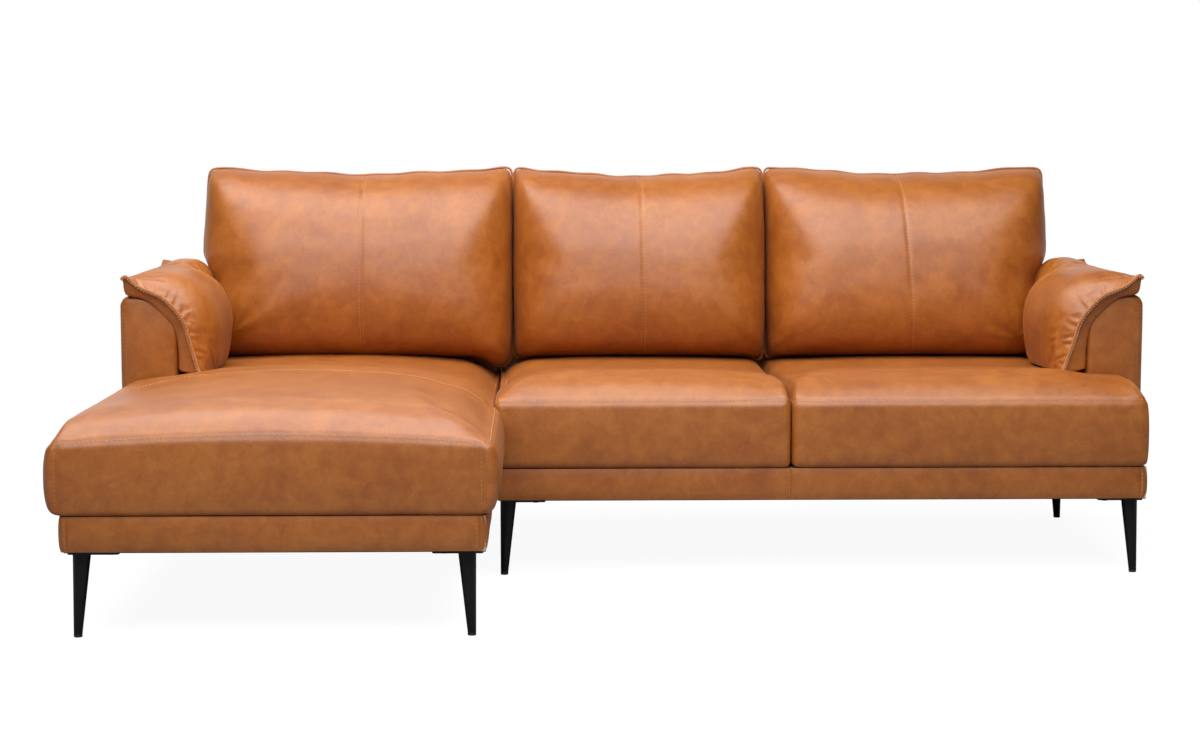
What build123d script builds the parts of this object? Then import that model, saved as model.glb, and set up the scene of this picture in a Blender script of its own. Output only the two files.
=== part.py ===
"""Leather corner sofa: a two-seat unit with a right arm, hooked to a chaise unit with a left arm.

Millimetres, +Z up, +X to the right of someone facing the sofa, +Y towards its back.
The origin is on the floor, under the middle of the sofa's outline.
"""

import os
from math import radians, sin, tan

from build123d import *

# Outline of the whole sofa
overall_width = 2342.0
overall_depth = 1600.0
overall_height = 905.0
chaise_width = 856.0
sofa_depth = 922.0
unit_gap = 6.0

# Plinth: timber rails in a leather apron
base_clearance = 173.0
apron_height = 70.0
apron_inset = 30.0
apron_setback = 10.0
rear_setback = 25.0
leather = 3.0
rail_thickness = 25.0
cross_rail_height = 40.0
corner_block_size = 125.0
corner_block_height = 38.0
dust_cover_thickness = 1.5
joint_apron_overlap = 60.0

# Seats
seam_height = 393.0
seat_crown = 27.0
shoulder_run = 46.0
shoulder_drop = 28.0
chaise_side_inset = 18.0
sofa_side_inset = 36.0
chaise_bulge = 16.0
sofa_bulge = 7.0
hidden_bulge = 1.0
middle_seat_width = 655.0
seat_gap = 2.0
seat_settle = 5.0
wadding = 22.0
foam_bevel = 52.0
fit_gap = 0.3

# Zigzag springs under the seats, with their clips and the felt over them
spring_wire = 4.0
spring_run = 84.0
spring_pitch = 78.0
spring_spacing = 190.0
spring_corner = 14.0
clip_length = 26.0
clip_sheet = 1.5
clip_reach = 12.0
pad_thickness = 5.0

# Backs: a leaning timber frame with webbing, in a leather case
back_thickness = 85.0
back_height = 650.0
back_rounding = 28.0
back_rail_height = 45.0
back_post_width = 45.0
back_timber = 28.0
back_cover_thickness = 9.0
webbing_width = 50.0
webbing_thickness = 1.5
webbing_pitch = 105.0

# Back cushions, loose on the seats
back_cushion_thickness = 225.0
back_cushion_gap = 3.0
back_cushion_lean = 8.0
gusset = 46.0
cushion_shoulder = 120.0
cushion_top_dip = 16.0
cushion_side_draw = 7.0
middle_back_width = 633.0
first_cushion_joint = 32.0

# Arms and the pillows sewn over them
arm_thickness = 131.0
arm_height = 618.0
arm_setback = 200.0
arm_outer_rounding = 26.0
arm_inner_rounding = 84.0
arm_edge_rounding = 12.0
arm_cover_thickness = 10.0
arm_timber = 30.0
pillow_overhang = 24.0
pillow_length = 596.0
pillow_bulge = 92.0
pillow_top = 70.0
pillow_end = 40.0
pillow_ear = 52.0
pillow_squeezed = 9.0

# Legs, bolted on through corner plates
leg_top_radius = 18.0
leg_foot_radius = 8.5
leg_wall = 2.0
leg_lean = 9.0
leg_side_inset = 30.0
chaise_joint_leg_inset = 41.0
sofa_joint_leg_inset = 25.0
leg_end_inset = 48.0
plate_thickness = 4.0
plate_reach = 108.0
plate_margin = 8.0
plate_corner = 50.0
plate_rounding = 7.0
glide_height = 6.0
glide_stem = 14.0
bolt_radius = 4.0
bolt_hole_gap = 0.5
bolt_head_width = 13.0
bolt_head_height = 5.5
tee_nut_flange_radius = 10.0
tee_nut_flange = 1.5
tee_nut_barrel_radius = 5.5
tee_nut_barrel = 12.0
thread_gap = 0.05
bolt_places = ((86.0, 46.0), (46.0, 88.0), (76.0, 76.0))

# Frame bolts and the hook-in connectors between the units
frame_bolt_length = 92.0
connector_sheet = 2.5
connector_width = 60.0
connector_height = 46.0
connector_play = 0.3

# Levels and edges worked out from the sizes above
half_width = overall_width / 2
half_depth = overall_depth / 2
joint_x = -half_width + chaise_width
chaise_right = joint_x - unit_gap / 2
sofa_left = joint_x + unit_gap / 2
chaise_front = -half_depth
sofa_front = half_depth - sofa_depth
base_rear = half_depth - rear_setback
rail_top = base_clearance + apron_height
seat_split = sofa_left + middle_seat_width
pad_top = rail_top - fit_gap
clip_height = 2 * clip_sheet + spring_wire + 2 * fit_gap
clip_bottom = pad_top - pad_thickness - fit_gap - clip_height
clip_fold = clip_sheet + fit_gap + spring_wire / 2
shoulder_height = seam_height + shoulder_drop * 2 / 3
backs_foot = shoulder_height + seat_crown - seat_settle + fit_gap
arm_front = sofa_front + arm_setback
arm_inner = half_width - arm_thickness
back_slope = rear_setback / (back_height - rail_top)
back_front = base_rear - back_thickness
plate_top = base_clearance - dust_cover_thickness
plate_bottom = plate_top - plate_thickness
block_top = base_clearance + corner_block_height
bolt_hole_radius = bolt_radius + bolt_hole_gap


def block(x, y, z):
    """A box between two limits along each axis."""
    limits = (x, y, z)
    size = [high - low for low, high in limits]
    middle = [(low + high) / 2 for low, high in limits]
    return Pos(*middle) * Box(*size)


def rod(x, y, z, radius):
    """An upright cylinder at x, y between two heights."""
    low, high = z
    return Pos(x, y, (low + high) / 2) * Cylinder(radius, high - low)


def joined(*edges):
    """A closed wire of edges that follow each other."""
    return Wire(list(edges))


def save(name, *solids):
    """Writes one sub-part, of one solid or several."""
    found = [solid for shape in solids for solid in shape.solids()]
    shape = found[0] if len(found) == 1 else Compound(children=found)
    shape.label = name
    export_step(shape, f"parts/{name}.step")


class Base:
    """The plinth of one unit: its outer limits, and the timber ring inside the apron."""

    def __init__(self, name, left, right, front, covered_left, covered_right):
        self.name = name
        self.left, self.right, self.front, self.rear = left, right, front, base_rear
        self.covered_left, self.covered_right = covered_left, covered_right
        self.x = (left + leather, right - leather)
        self.y = (front + leather, base_rear - leather)
        self.inner_x = (self.x[0] + rail_thickness, self.x[1] - rail_thickness)
        self.inner_y = (self.y[0] + rail_thickness, self.y[1] - rail_thickness)


chaise = Base(
    "chaise",
    -half_width + apron_inset,
    chaise_right,
    chaise_front + apron_setback,
    (chaise_front + apron_setback, base_rear),
    (chaise_front + apron_setback, sofa_front + joint_apron_overlap),
)
sofa = Base(
    "sofa",
    sofa_left,
    half_width - apron_inset,
    sofa_front + apron_setback,
    None,
    (sofa_front + apron_setback, base_rear),
)


# Places of the fasteners


def frame_bolt_places():
    """Where bolts rise through the side rails into the arms, and through the rear rails into the backs."""
    side = rail_thickness / 2
    arm_ends = (arm_front + 90, half_depth - 180)
    left = [(chaise.x[0] + side, y) for y in arm_ends]
    right = [(sofa.x[1] - side, y) for y in arm_ends]
    rear_y = base_rear - leather - side
    backs = ((-arm_inner, chaise_right), (sofa_left, arm_inner))
    behind = [(low + (high - low) * share, rear_y) for low, high in backs for share in (0.25, 0.75)]
    return left + right + behind


class Leg:
    """One leg at a corner of a base. sx and sy point from the corner into the base."""

    def __init__(self, name, base, sx, sy, side_inset):
        self.name = name
        self.sx, self.sy = sx, sy
        self.corner_x = base.left if sx > 0 else base.right
        self.corner_y = base.front if sy > 0 else base.rear
        self.top = self.at(side_inset, leg_end_inset)
        self.foot = self.at(side_inset - leg_lean, leg_end_inset - leg_lean)
        self.bolts = [self.at(*place) for place in bolt_places]

    def at(self, inward_x, inward_y):
        return (self.corner_x + self.sx * inward_x, self.corner_y + self.sy * inward_y)


legs = [
    Leg("chaise_front_left_leg", chaise, 1, 1, leg_side_inset),
    Leg("chaise_front_right_leg", chaise, -1, 1, chaise_joint_leg_inset),
    Leg("chaise_rear_left_leg", chaise, 1, -1, leg_side_inset),
    Leg("chaise_rear_right_leg", chaise, -1, -1, chaise_joint_leg_inset),
    Leg("sofa_front_left_leg", sofa, 1, 1, sofa_joint_leg_inset),
    Leg("sofa_front_right_leg", sofa, -1, 1, leg_side_inset),
    Leg("sofa_rear_left_leg", sofa, 1, -1, sofa_joint_leg_inset),
    Leg("sofa_rear_right_leg", sofa, -1, -1, leg_side_inset),
]


# Legs and their fasteners


def tapered(leg, top_radius, foot_radius):
    """A cone between the plate and the glide, leaning out of the corner."""
    top = Pos(*leg.top, plate_bottom) * Circle(top_radius)
    foot = Pos(*leg.foot, glide_height) * Circle(foot_radius)
    return Solid.make_loft([foot.wire(), top.wire()])


def leg_weldment(leg):
    """A tapered steel tube welded under its corner plate, which has three bolt holes."""
    near, far, bevel = plate_margin, plate_reach, plate_corner
    outline = [(near, near), (far, near), (far, bevel), (bevel, far), (near, far)]
    shape = make_face(Polyline(*[leg.at(*point) for point in outline], close=True))
    shape = fillet(shape.vertices(), plate_rounding)
    plate = extrude(Pos(0, 0, plate_bottom) * shape, plate_thickness, dir=(0, 0, 1))
    for x, y in leg.bolts:
        plate -= rod(x, y, (plate_bottom - 1, plate_top + 1), bolt_hole_radius)
    tube = tapered(leg, leg_top_radius, leg_foot_radius)
    tube -= tapered(leg, leg_top_radius - leg_wall, leg_foot_radius - leg_wall)
    return plate + tube


def glide(leg):
    """A nylon foot: a rounded pad under the tube's end, with a stem that plugs into it."""
    pad = rod(*leg.foot, (0, glide_height), leg_foot_radius)
    pad = fillet(pad.edges().group_by(Axis.Z)[0], glide_height / 4)
    stem_radius = leg_foot_radius - leg_wall - fit_gap
    drift = [(top - foot) / (plate_bottom - glide_height) for top, foot in zip(leg.top, leg.foot)]
    tip = [foot + share * glide_stem for foot, share in zip(leg.foot, drift)]
    low = Pos(*leg.foot, glide_height) * Circle(stem_radius)
    high = Pos(*tip, glide_height + glide_stem) * Circle(stem_radius)
    return pad + Solid.make_loft([low.wire(), high.wire()])


def leg_bolt(x, y):
    """A hexagon bolt, up through the plate and the dust cover into its tee nut."""
    head = RegularPolygon(bolt_head_width / 2, 6, major_radius=False)
    bolt = extrude(Pos(x, y, plate_bottom - bolt_head_height) * head, bolt_head_height)
    return bolt + rod(x, y, (plate_bottom, block_top), bolt_radius)


def tee_nut(x, y):
    """A flanged nut driven into the top of its corner block."""
    nut = rod(x, y, (block_top - tee_nut_barrel, block_top), tee_nut_barrel_radius)
    nut += rod(x, y, (block_top, block_top + tee_nut_flange), tee_nut_flange_radius)
    return nut - rod(x, y, (block_top - tee_nut_barrel, block_top + tee_nut_flange), bolt_radius + thread_gap)


def save_legs():
    for leg in legs:
        save(leg.name, leg_weldment(leg))
    save("leg_glides", *[glide(leg) for leg in legs])
    save("leg_bolts", *[leg_bolt(x, y) for leg in legs for x, y in leg.bolts])
    save("leg_tee_nuts", *[tee_nut(x, y) for leg in legs for x, y in leg.bolts])


# Plinth of each unit


def drilled(timber):
    """The timber with clearance for the frame bolts, heads let in from below."""
    head = bolt_head_height + 1
    for x, y in frame_bolt_places():
        timber -= rod(x, y, (base_clearance - 1, rail_top + frame_bolt_length), bolt_hole_radius)
        timber -= rod(x, y, (base_clearance - 1, base_clearance + head), bolt_head_width / 2 + 1)
    return timber


def rails(base):
    """Front and rear rails across the whole width, with the side rails butted between them."""
    z = (base_clearance, rail_top)
    front = block(base.x, (base.y[0], base.inner_y[0]), z)
    rear = block(base.x, (base.inner_y[1], base.y[1]), z)
    left = block((base.x[0], base.inner_x[0]), base.inner_y, z)
    right = block((base.inner_x[1], base.x[1]), base.inner_y, z)
    return {"front": front, "rear": drilled(rear), "left": drilled(left), "right": drilled(right)}


def corner_block(leg):
    """A triangular block glued into the corner of the rails, bored for the leg bolts."""
    near = leather + rail_thickness
    far = near + corner_block_size
    outline = [leg.at(near, near), leg.at(far, near), leg.at(near, far)]
    shape = make_face(Polyline(*outline, close=True))
    timber = extrude(Pos(0, 0, base_clearance) * shape, corner_block_height, dir=(0, 0, 1))
    for x, y in leg.bolts:
        timber -= rod(x, y, (base_clearance - 1, block_top + 1), bolt_hole_radius)
        timber -= rod(x, y, (block_top - tee_nut_barrel, block_top + 1), tee_nut_barrel_radius + thread_gap)
    return timber


def cross_rails(base, across, shares):
    """Stretchers inside the ring, kept low so that the springs clear them."""
    z = (base_clearance, base_clearance + cross_rail_height)
    found = []
    for share in shares:
        if across:
            middle = base.inner_y[0] + share * (base.inner_y[1] - base.inner_y[0])
            y = (middle - rail_thickness / 2, middle + rail_thickness / 2)
            found.append(block(base.inner_x, y, z))
        else:
            middle = base.inner_x[0] + share * (base.inner_x[1] - base.inner_x[0])
            x = (middle - rail_thickness / 2, middle + rail_thickness / 2)
            found.append(block(x, base.inner_y, z))
    return found


def apron(base, seams):
    """Strips of leather round the rails, sewn at the corners and at the given places along the front."""
    z = (base_clearance, rail_top)
    edges = [base.left, *seams, base.right]
    strips = [block(x, (base.front, base.y[0]), z) for x in zip(edges, edges[1:])]
    strips.append(block((base.left, base.right), (base.y[1], base.rear), z))
    for cover, x in ((base.covered_left, (base.left, base.x[0])), (base.covered_right, (base.x[1], base.right))):
        if cover:
            strips.append(block(x, (max(cover[0], base.y[0]), min(cover[1], base.y[1])), z))
    return strips


def dust_cover(base, its_legs):
    """Black cloth stapled under the rails, pierced by the leg bolts."""
    sheet = block(base.x, base.y, (plate_top, base_clearance))
    for leg in its_legs:
        for x, y in leg.bolts:
            sheet -= rod(x, y, (plate_top - 1, base_clearance + 1), bolt_hole_radius)
    return sheet


def frame_bolt(x, y):
    """A bolt let into the underside of a rail, which holds an arm or a back down on the plinth."""
    start = base_clearance
    bolt = rod(x, y, (start, start + bolt_head_height), bolt_head_width / 2)
    return bolt + rod(x, y, (start + bolt_head_height, start + frame_bolt_length), bolt_radius)


def hook_plate(y):
    """The chaise's half of a connector: a plate on its rail whose tongue hangs down into the socket."""
    face = chaise_right - leather
    back = sofa_left + leather
    pocket = back - connector_sheet - connector_play
    wide = (y - connector_width / 2, y + connector_width / 2)
    top = rail_top - 8
    plate = block((face, face + connector_sheet), wide, (top - connector_height, top))
    bridge = block((face, pocket), wide, (top, top + connector_sheet))
    tongue = block((pocket - connector_sheet, pocket), wide, (top - connector_height / 2, top))
    return plate + bridge + tongue


def socket_plate(y):
    """The sofa's half of a connector: a plate on its rail with an open pocket that takes the tongue."""
    back = sofa_left + leather
    inside = back - connector_sheet
    outside = inside - connector_sheet - 2 * connector_play
    wide = (y - connector_width / 2, y + connector_width / 2)
    top = rail_top - 8 - connector_play
    low = top - connector_height
    plate = block((inside, back), wide, (low, top))
    floor = block((outside - connector_sheet / 2, inside), wide, (low, low + connector_sheet))
    wall = block((outside - connector_sheet / 2, outside), wide, (low, top))
    return plate + floor + wall


def save_plinths():
    layout = (
        (chaise, True, (0.33, 0.67), ()),
        (sofa, False, (0.33, 0.67), (seat_split,)),
    )
    for base, across, shares, seams in layout:
        for side, timber in rails(base).items():
            save(f"{base.name}_{side}_rail", timber)
        save(f"{base.name}_cross_rails", *cross_rails(base, across, shares))
        its_legs = [leg for leg in legs if leg.name.startswith(base.name)]
        save(f"{base.name}_corner_blocks", *[corner_block(leg) for leg in its_legs])
        save(f"{base.name}_apron", *apron(base, seams))
        save(f"{base.name}_dust_cover", dust_cover(base, its_legs))
    save("frame_bolts", *[frame_bolt(x, y) for x, y in frame_bolt_places()])
    connector_rows = (arm_front, base_rear - arm_setback)
    save("connector_hooks", *[hook_plate(y) for y in connector_rows])
    save("connector_sockets", *[socket_plate(y) for y in connector_rows])


# Springs


def zigzag_points(span, run, pitch, corner):
    """The centre line of a zigzag spring: cross runs joined by short bridges, with cut corners."""
    count = max(2, round(span / pitch))
    step = span / count
    points = [(0.0, -run / 2)]
    for index in range(count):
        start, end = index * step, (index + 1) * step
        side = 1 if index % 2 == 0 else -1
        reach = side * run / 2
        points.append((start, reach - side * corner))
        points.append((start + corner, reach))
        points.append((end - corner, reach))
        points.append((end, reach - side * corner))
    last = 1 if count % 2 == 0 else -1
    points.append((span, last * run / 2))
    return [Vector(x, y) for x, y in points]


def ribbon(points, width):
    """A flat strip of constant width along a line of points, mitred at its corners."""
    turned = [(b - a).normalized().rotate(Axis.Z, 90) for a, b in zip(points, points[1:])]
    normals = [turned[0], *[(a + b).normalized() for a, b in zip(turned, turned[1:])], turned[-1]]
    reach = [width / 2 / normal.dot(edge) for normal, edge in zip(normals, [turned[0], *turned])]
    left = [point + normal * far for point, normal, far in zip(points, normals, reach)]
    right = [point - normal * far for point, normal, far in zip(points, normals, reach)]
    return make_face(Polyline(*left, *reversed(right), close=True))


def spring(span):
    """One zigzag spring along +X from the origin, as thick as its wire."""
    flat = ribbon(zigzag_points(span, spring_run, spring_pitch, spring_corner), spring_wire)
    return extrude(flat, spring_wire, dir=(0, 0, 1))


def clip():
    """A folded steel clip that holds a spring's end run, open towards +X."""
    wide = (-clip_length / 2, clip_length / 2)
    body = block((-clip_fold, clip_reach - clip_fold), wide, (0, clip_height))
    mouth = block((clip_sheet - clip_fold, clip_reach), wide, (clip_sheet, clip_height - clip_sheet))
    return body - mouth


def spring_set(base, across):
    """The springs of one unit in an even row, with a clip on the rails' inner faces at both ends of each."""
    along, rest = (base.inner_x, base.inner_y) if across else (base.inner_y, base.inner_x)
    ends = (along[0] + clip_fold, along[1] - clip_fold)
    count = int((rest[1] - rest[0] - spring_run) // spring_spacing) + 1
    first = (rest[0] + rest[1]) / 2 - (count - 1) * spring_spacing / 2
    springs, clips = [], []
    for index in range(count):
        place = first + index * spring_spacing
        turn = Pos(0, place, 0) if across else Pos(place, 0, 0) * Rot(0, 0, 90)
        lift = clip_bottom + clip_sheet + fit_gap
        springs.append(turn * Pos(ends[0], 0, lift) * spring(ends[1] - ends[0]))
        clips.append(turn * Pos(ends[0], 0, clip_bottom) * clip())
        clips.append(turn * Pos(ends[1], 0, clip_bottom) * Rot(0, 0, 180) * clip())
    return springs, clips


def spring_pad(base):
    """Felt laid over the springs, inside the ring of rails."""
    x = (base.inner_x[0] + fit_gap, base.inner_x[1] - fit_gap)
    y = (base.inner_y[0] + fit_gap, base.inner_y[1] - fit_gap)
    return block(x, y, (pad_top - pad_thickness, pad_top))


# Seats


def seat_slice(y, left, right, bottom, shoulder, crown, bulges):
    """One slice across a seat: flat below, sides that swell, rounded shoulders and a crowned top."""
    side_top = shoulder - shoulder_drop
    middle_z = (bottom + side_top) / 2
    middle_x = (left + right) / 2
    bulge_left, bulge_right = bulges
    turn_x, turn_z = 0.3 * shoulder_run, 0.7 * shoulder_drop
    low_left, low_right = (left, y, bottom), (right, y, bottom)
    side_left, side_right = (left, y, side_top), (right, y, side_top)
    top_left, top_right = (left + shoulder_run, y, shoulder), (right - shoulder_run, y, shoulder)
    return joined(
        Line(low_left, low_right),
        ThreePointArc(low_right, (right + bulge_right, y, middle_z), side_right),
        ThreePointArc(side_right, (right - turn_x, y, side_top + turn_z), top_right),
        ThreePointArc(top_right, (middle_x, y, shoulder + crown), top_left),
        ThreePointArc(top_left, (left + turn_x, y, side_top + turn_z), side_left),
        ThreePointArc(side_left, (left - bulge_left, y, middle_z), low_left),
    )


class Seat:
    """One seat: its limits, how far its sides swell, and the arm it is notched for."""

    def __init__(self, left, right, front, bulges, arm):
        self.left, self.right, self.front = left, right, front
        self.rear = back_front - fit_gap
        self.bulges = bulges
        self.arm = arm

    def profile(self):
        """Place, shoulder height and crown of each slice, from the front edge to under the back cushions."""
        edge = seam_height - shoulder_drop / 3
        rise = shoulder_height - edge
        front = [
            (self.front, edge, seat_crown / 3),
            (self.front + 0.05 * sofa_depth, edge + 0.55 * rise, 0.6 * seat_crown),
            (self.front + 0.14 * sofa_depth, shoulder_height, seat_crown),
        ]
        beside = [(sofa_front, shoulder_height, seat_crown)] if self.front < sofa_front else []
        rear = [
            (self.rear - 0.30 * sofa_depth, shoulder_height, seat_crown),
            (self.rear - 0.15 * sofa_depth, shoulder_height - seat_settle, seat_crown),
            (self.rear, shoulder_height - 2 * seat_settle, seat_crown),
        ]
        return front + beside + rear

    def notched(self, solid, wall):
        """The solid cut back by a wall's thickness where the arm stands."""
        if not self.arm:
            return solid
        near = arm_inner - seat_gap - wall
        x = (near, overall_width) if self.arm > 0 else (-overall_width, -near)
        return solid - block(x, (arm_front - seat_gap - wall, overall_depth), (0, overall_height))

    def core(self, gap, bottom):
        """The foam block, bevelled along its upper sides."""
        left, right = self.left + wadding + gap, self.right - wadding - gap
        top = seam_height - wadding - gap
        y = self.front + wadding + gap
        outline = [
            (left, y, bottom),
            (right, y, bottom),
            (right, y, top - foam_bevel),
            (right - foam_bevel, y, top),
            (left + foam_bevel, y, top),
            (left, y, top - foam_bevel),
        ]
        face = make_face(Polyline(*outline, close=True))
        return self.notched(extrude(face, self.rear - wadding - gap - y, dir=(0, 1, 0)), wadding + gap)

    def cover(self):
        """Leather over wadding, pulled over the foam and stapled down to the rails."""
        slices = [
            seat_slice(y, self.left, self.right, rail_top, shoulder, crown, self.bulges(y))
            for y, shoulder, crown in self.profile()
        ]
        return self.notched(Solid.make_loft(slices), 0) - self.core(0, rail_top - wadding)

    def foam(self):
        return self.core(fit_gap, rail_top + fit_gap)


def chaise_bulges(y):
    """The chaise swells on both sides in front of the sofa, and is flat where the sofa stands beside it."""
    return (chaise_bulge, chaise_bulge if y < sofa_front else hidden_bulge)


chaise_seat = Seat(
    -half_width + chaise_side_inset,
    chaise_right - chaise_side_inset / 3,
    chaise_front,
    chaise_bulges,
    -1,
)
middle_seat = Seat(
    sofa_left + hidden_bulge,
    seat_split - hidden_bulge - seat_gap / 2,
    sofa_front,
    lambda y: (hidden_bulge, hidden_bulge),
    0,
)
right_seat = Seat(
    seat_split + hidden_bulge + seat_gap / 2,
    half_width - sofa_side_inset,
    sofa_front,
    lambda y: (hidden_bulge, sofa_bulge),
    1,
)


def save_seats():
    for name, seat in (("chaise_seat", chaise_seat), ("middle_seat", middle_seat), ("right_seat", right_seat)):
        save(f"{name}_cover", seat.cover())
        save(f"{name}_foam", seat.foam())
    clips = []
    for base, across in ((chaise, True), (sofa, False)):
        springs, its_clips = spring_set(base, across)
        save(f"{base.name}_seat_springs", *springs)
        save(f"{base.name}_spring_pad", spring_pad(base))
        clips += its_clips
    save("spring_clips", *clips)


# Backs


def leaning(x, depth, z):
    """A slab of the leaning back, between two depths behind its front face and two heights."""
    low, high = z
    start, end = depth
    corners = [
        (back_front + start + (height - rail_top) * back_slope, height)
        for height in (low, high)
    ]
    thick = end - start
    outline = [corners[0], corners[1], (corners[1][0] + thick, high), (corners[0][0] + thick, low)]
    face = make_face(Polyline(*[(x[0], y, height) for y, height in outline], close=True))
    return extrude(face, x[1] - x[0], dir=(1, 0, 0))


def back_case(x):
    """The leather case of one back, rounded along its top and open below."""
    case = leaning(x, (0, back_thickness), (rail_top, back_height))
    case = fillet(case.edges().filter_by(Axis.X).group_by(Axis.Z)[-1], back_rounding)
    wall = back_cover_thickness
    inside = (x[0] + wall, x[1] - wall)
    hollow = leaning(inside, (wall, back_thickness - wall), (rail_top - 1, back_height - wall))
    hollow = fillet(hollow.edges().filter_by(Axis.X).group_by(Axis.Z)[-1], back_rounding - wall)
    return case - hollow


def back_frame(x):
    """Posts at the ends and the middle, between a bottom rail and a top rail."""
    clear = back_cover_thickness + fit_gap
    inside = (x[0] + clear, x[1] - clear)
    front = clear + webbing_thickness + fit_gap
    depth = (front, front + back_timber)
    low = (rail_top, rail_top + back_rail_height)
    top = back_height - back_rounding
    high = (top - back_rail_height, top)
    half = back_post_width / 2
    centres = (inside[0] + half, (inside[0] + inside[1]) / 2, inside[1] - half)
    posts = [leaning((at - half, at + half), depth, (low[1], high[0])) for at in centres]
    foot = leaning(inside, depth, low)
    for place_x, place_y in frame_bolt_places():
        foot -= rod(place_x, place_y, (rail_top - 1, low[1] + 1), bolt_hole_radius)
    return [foot, leaning(inside, depth, high), *posts]


def back_webbing(x):
    """Elastic straps across the front of the frame."""
    clear = back_cover_thickness + fit_gap
    depth = (clear, clear + webbing_thickness)
    room = back_height - back_rounding - rail_top
    count = int((room - webbing_width) // webbing_pitch) + 1
    first = rail_top + (room - (count - 1) * webbing_pitch - webbing_width) / 2
    rows = [first + index * webbing_pitch for index in range(count)]
    return [leaning((x[0] + clear, x[1] - clear), depth, (z, z + webbing_width)) for z in rows]


def save_backs():
    spans = (
        ("chaise", (-arm_inner + seat_gap, chaise_right)),
        ("sofa", (sofa_left, arm_inner - seat_gap)),
    )
    for name, x in spans:
        save(f"{name}_back_cover", back_case(x))
        save(f"{name}_back_frame", *back_frame(x))
        save(f"{name}_back_webbing", *back_webbing(x))


# Back cushions


def cushion_slice(z, left, right, rear, thick, edge):
    """One level slice of a back cushion: flat behind, a narrow gusset and a crowned front."""
    side = rear - edge
    front = rear - thick
    shoulder = rear - edge - (thick - edge) * 0.86
    middle = (left + right) / 2
    bow_x, bow_y = 0.25 * cushion_shoulder, 0.62 * (side - shoulder)
    rear_left, rear_right = (left, rear, z), (right, rear, z)
    side_left, side_right = (left, side, z), (right, side, z)
    turn_left, turn_right = (left + cushion_shoulder, shoulder, z), (right - cushion_shoulder, shoulder, z)
    return joined(
        Line(rear_left, rear_right),
        Line(rear_right, side_right),
        ThreePointArc(side_right, (right - bow_x, side - bow_y, z), turn_right),
        ThreePointArc(turn_right, (middle, front, z), turn_left),
        ThreePointArc(turn_left, (left + bow_x, side - bow_y, z), side_left),
        Line(side_left, rear_left),
    )


def cushion_outline(left, right, low, high):
    """The cushion seen from the front: its sides and top drawn in between the corners."""
    middle_x, middle_z = (left + right) / 2, (low + high) / 2
    corners = [(left, 0, low), (right, 0, low), (right, 0, high), (left, 0, high)]
    wire = joined(
        Line(corners[0], corners[1]),
        ThreePointArc(corners[1], (right - cushion_side_draw, 0, middle_z), corners[2]),
        ThreePointArc(corners[2], (middle_x, 0, high - cushion_top_dip), corners[3]),
        ThreePointArc(corners[3], (left + cushion_side_draw, 0, middle_z), corners[0]),
    )
    return extrude(Pos(0, overall_depth, 0) * Face(wire), overall_depth, dir=(0, -1, 0))


def back_cushion(left, right):
    """A fibre-filled leather cushion that stands on the seat and leans on the top of the back."""
    high = overall_height - backs_foot
    slope = tan(radians(back_cushion_lean))
    foot_y = back_front + (back_height - rail_top) * back_slope - (back_height - backs_foot) * slope - fit_gap
    profile = (
        (0.0, 0.60, 0.9),
        (0.10, 0.90, 1.0),
        (0.32, 1.0, 1.0),
        (0.68, 0.95, 1.0),
        (0.90, 0.74, 0.9),
        (1.0, 0.30, 0.6),
    )
    slices = []
    for share, thick, edge in profile:
        z = backs_foot + share * high
        rear = foot_y + share * high * slope
        slices.append(cushion_slice(z, left, right, rear, thick * back_cushion_thickness, edge * gusset))
    return Solid.make_loft(slices) & cushion_outline(left, right, backs_foot, overall_height)


def save_back_cushions():
    first = joint_x + first_cushion_joint
    second = first + middle_back_width
    half_gap = back_cushion_gap / 2
    outer = arm_inner - pillow_squeezed - 2 * fit_gap
    save("chaise_back_cushion", back_cushion(-outer, first - half_gap))
    save("middle_back_cushion", back_cushion(first + half_gap, second - half_gap))
    save("right_back_cushion", back_cushion(second + half_gap, outer))


# Arms


def arm_outline(inset, bottom):
    """The arm seen from the front: upright sides and a rounded top."""
    left, right, top = arm_inner + inset, half_width - inset, arm_height - inset
    outer, inner = arm_outer_rounding - inset, arm_inner_rounding - inset
    shape = make_face(Polyline((left, bottom), (right, bottom), (right, top), (left, top), close=True))
    corners = shape.vertices().group_by(Axis.Y)[-1].sort_by(Axis.X)
    shape = fillet(corners[-1], outer)
    corners = shape.vertices().sort_by_distance((left, top))
    return fillet(corners[0], inner)


def arm_form(inset, bottom, front, rear):
    """The right arm's outline run from front to rear."""
    shape = Plane.XZ * arm_outline(inset, bottom)
    return extrude(Pos(0, rear, 0) * shape, rear - front, dir=(0, -1, 0))


def arm_case():
    """Foam and leather over the arm's frame, open below."""
    case = arm_form(0, rail_top, arm_front, half_depth)
    edges = case.faces().sort_by(Axis.Y)[0].edges()
    front_edges = [edge for edge in edges if edge.center().Z > rail_top + 1]
    case = fillet(front_edges, arm_edge_rounding)
    wall = arm_cover_thickness
    return case - arm_form(wall, rail_top - 1, arm_front + wall, half_depth - wall)


def arm_frame():
    """Posts and rails of the arm, bolted to the side rail of the plinth."""
    clear = arm_cover_thickness + fit_gap
    y = (arm_front + clear, half_depth - clear)
    bolt_x = half_width - apron_inset - leather - rail_thickness / 2
    x = (bolt_x - arm_timber / 2, bolt_x + arm_timber / 2)
    top = arm_height - arm_inner_rounding
    foot = block(x, y, (rail_top, rail_top + arm_timber))
    head = block(x, y, (top - arm_timber, top))
    middle = (rail_top + arm_timber, top - arm_timber)
    posts = [block(x, (low, low + arm_timber), middle) for low in (y[0], (y[0] + y[1]) / 2, y[1] - arm_timber)]
    for place_x, place_y in frame_bolt_places():
        foot -= rod(place_x, place_y, (rail_top - 1, rail_top + arm_timber + 1), bolt_hole_radius)
    return [foot, head, *posts]


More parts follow.
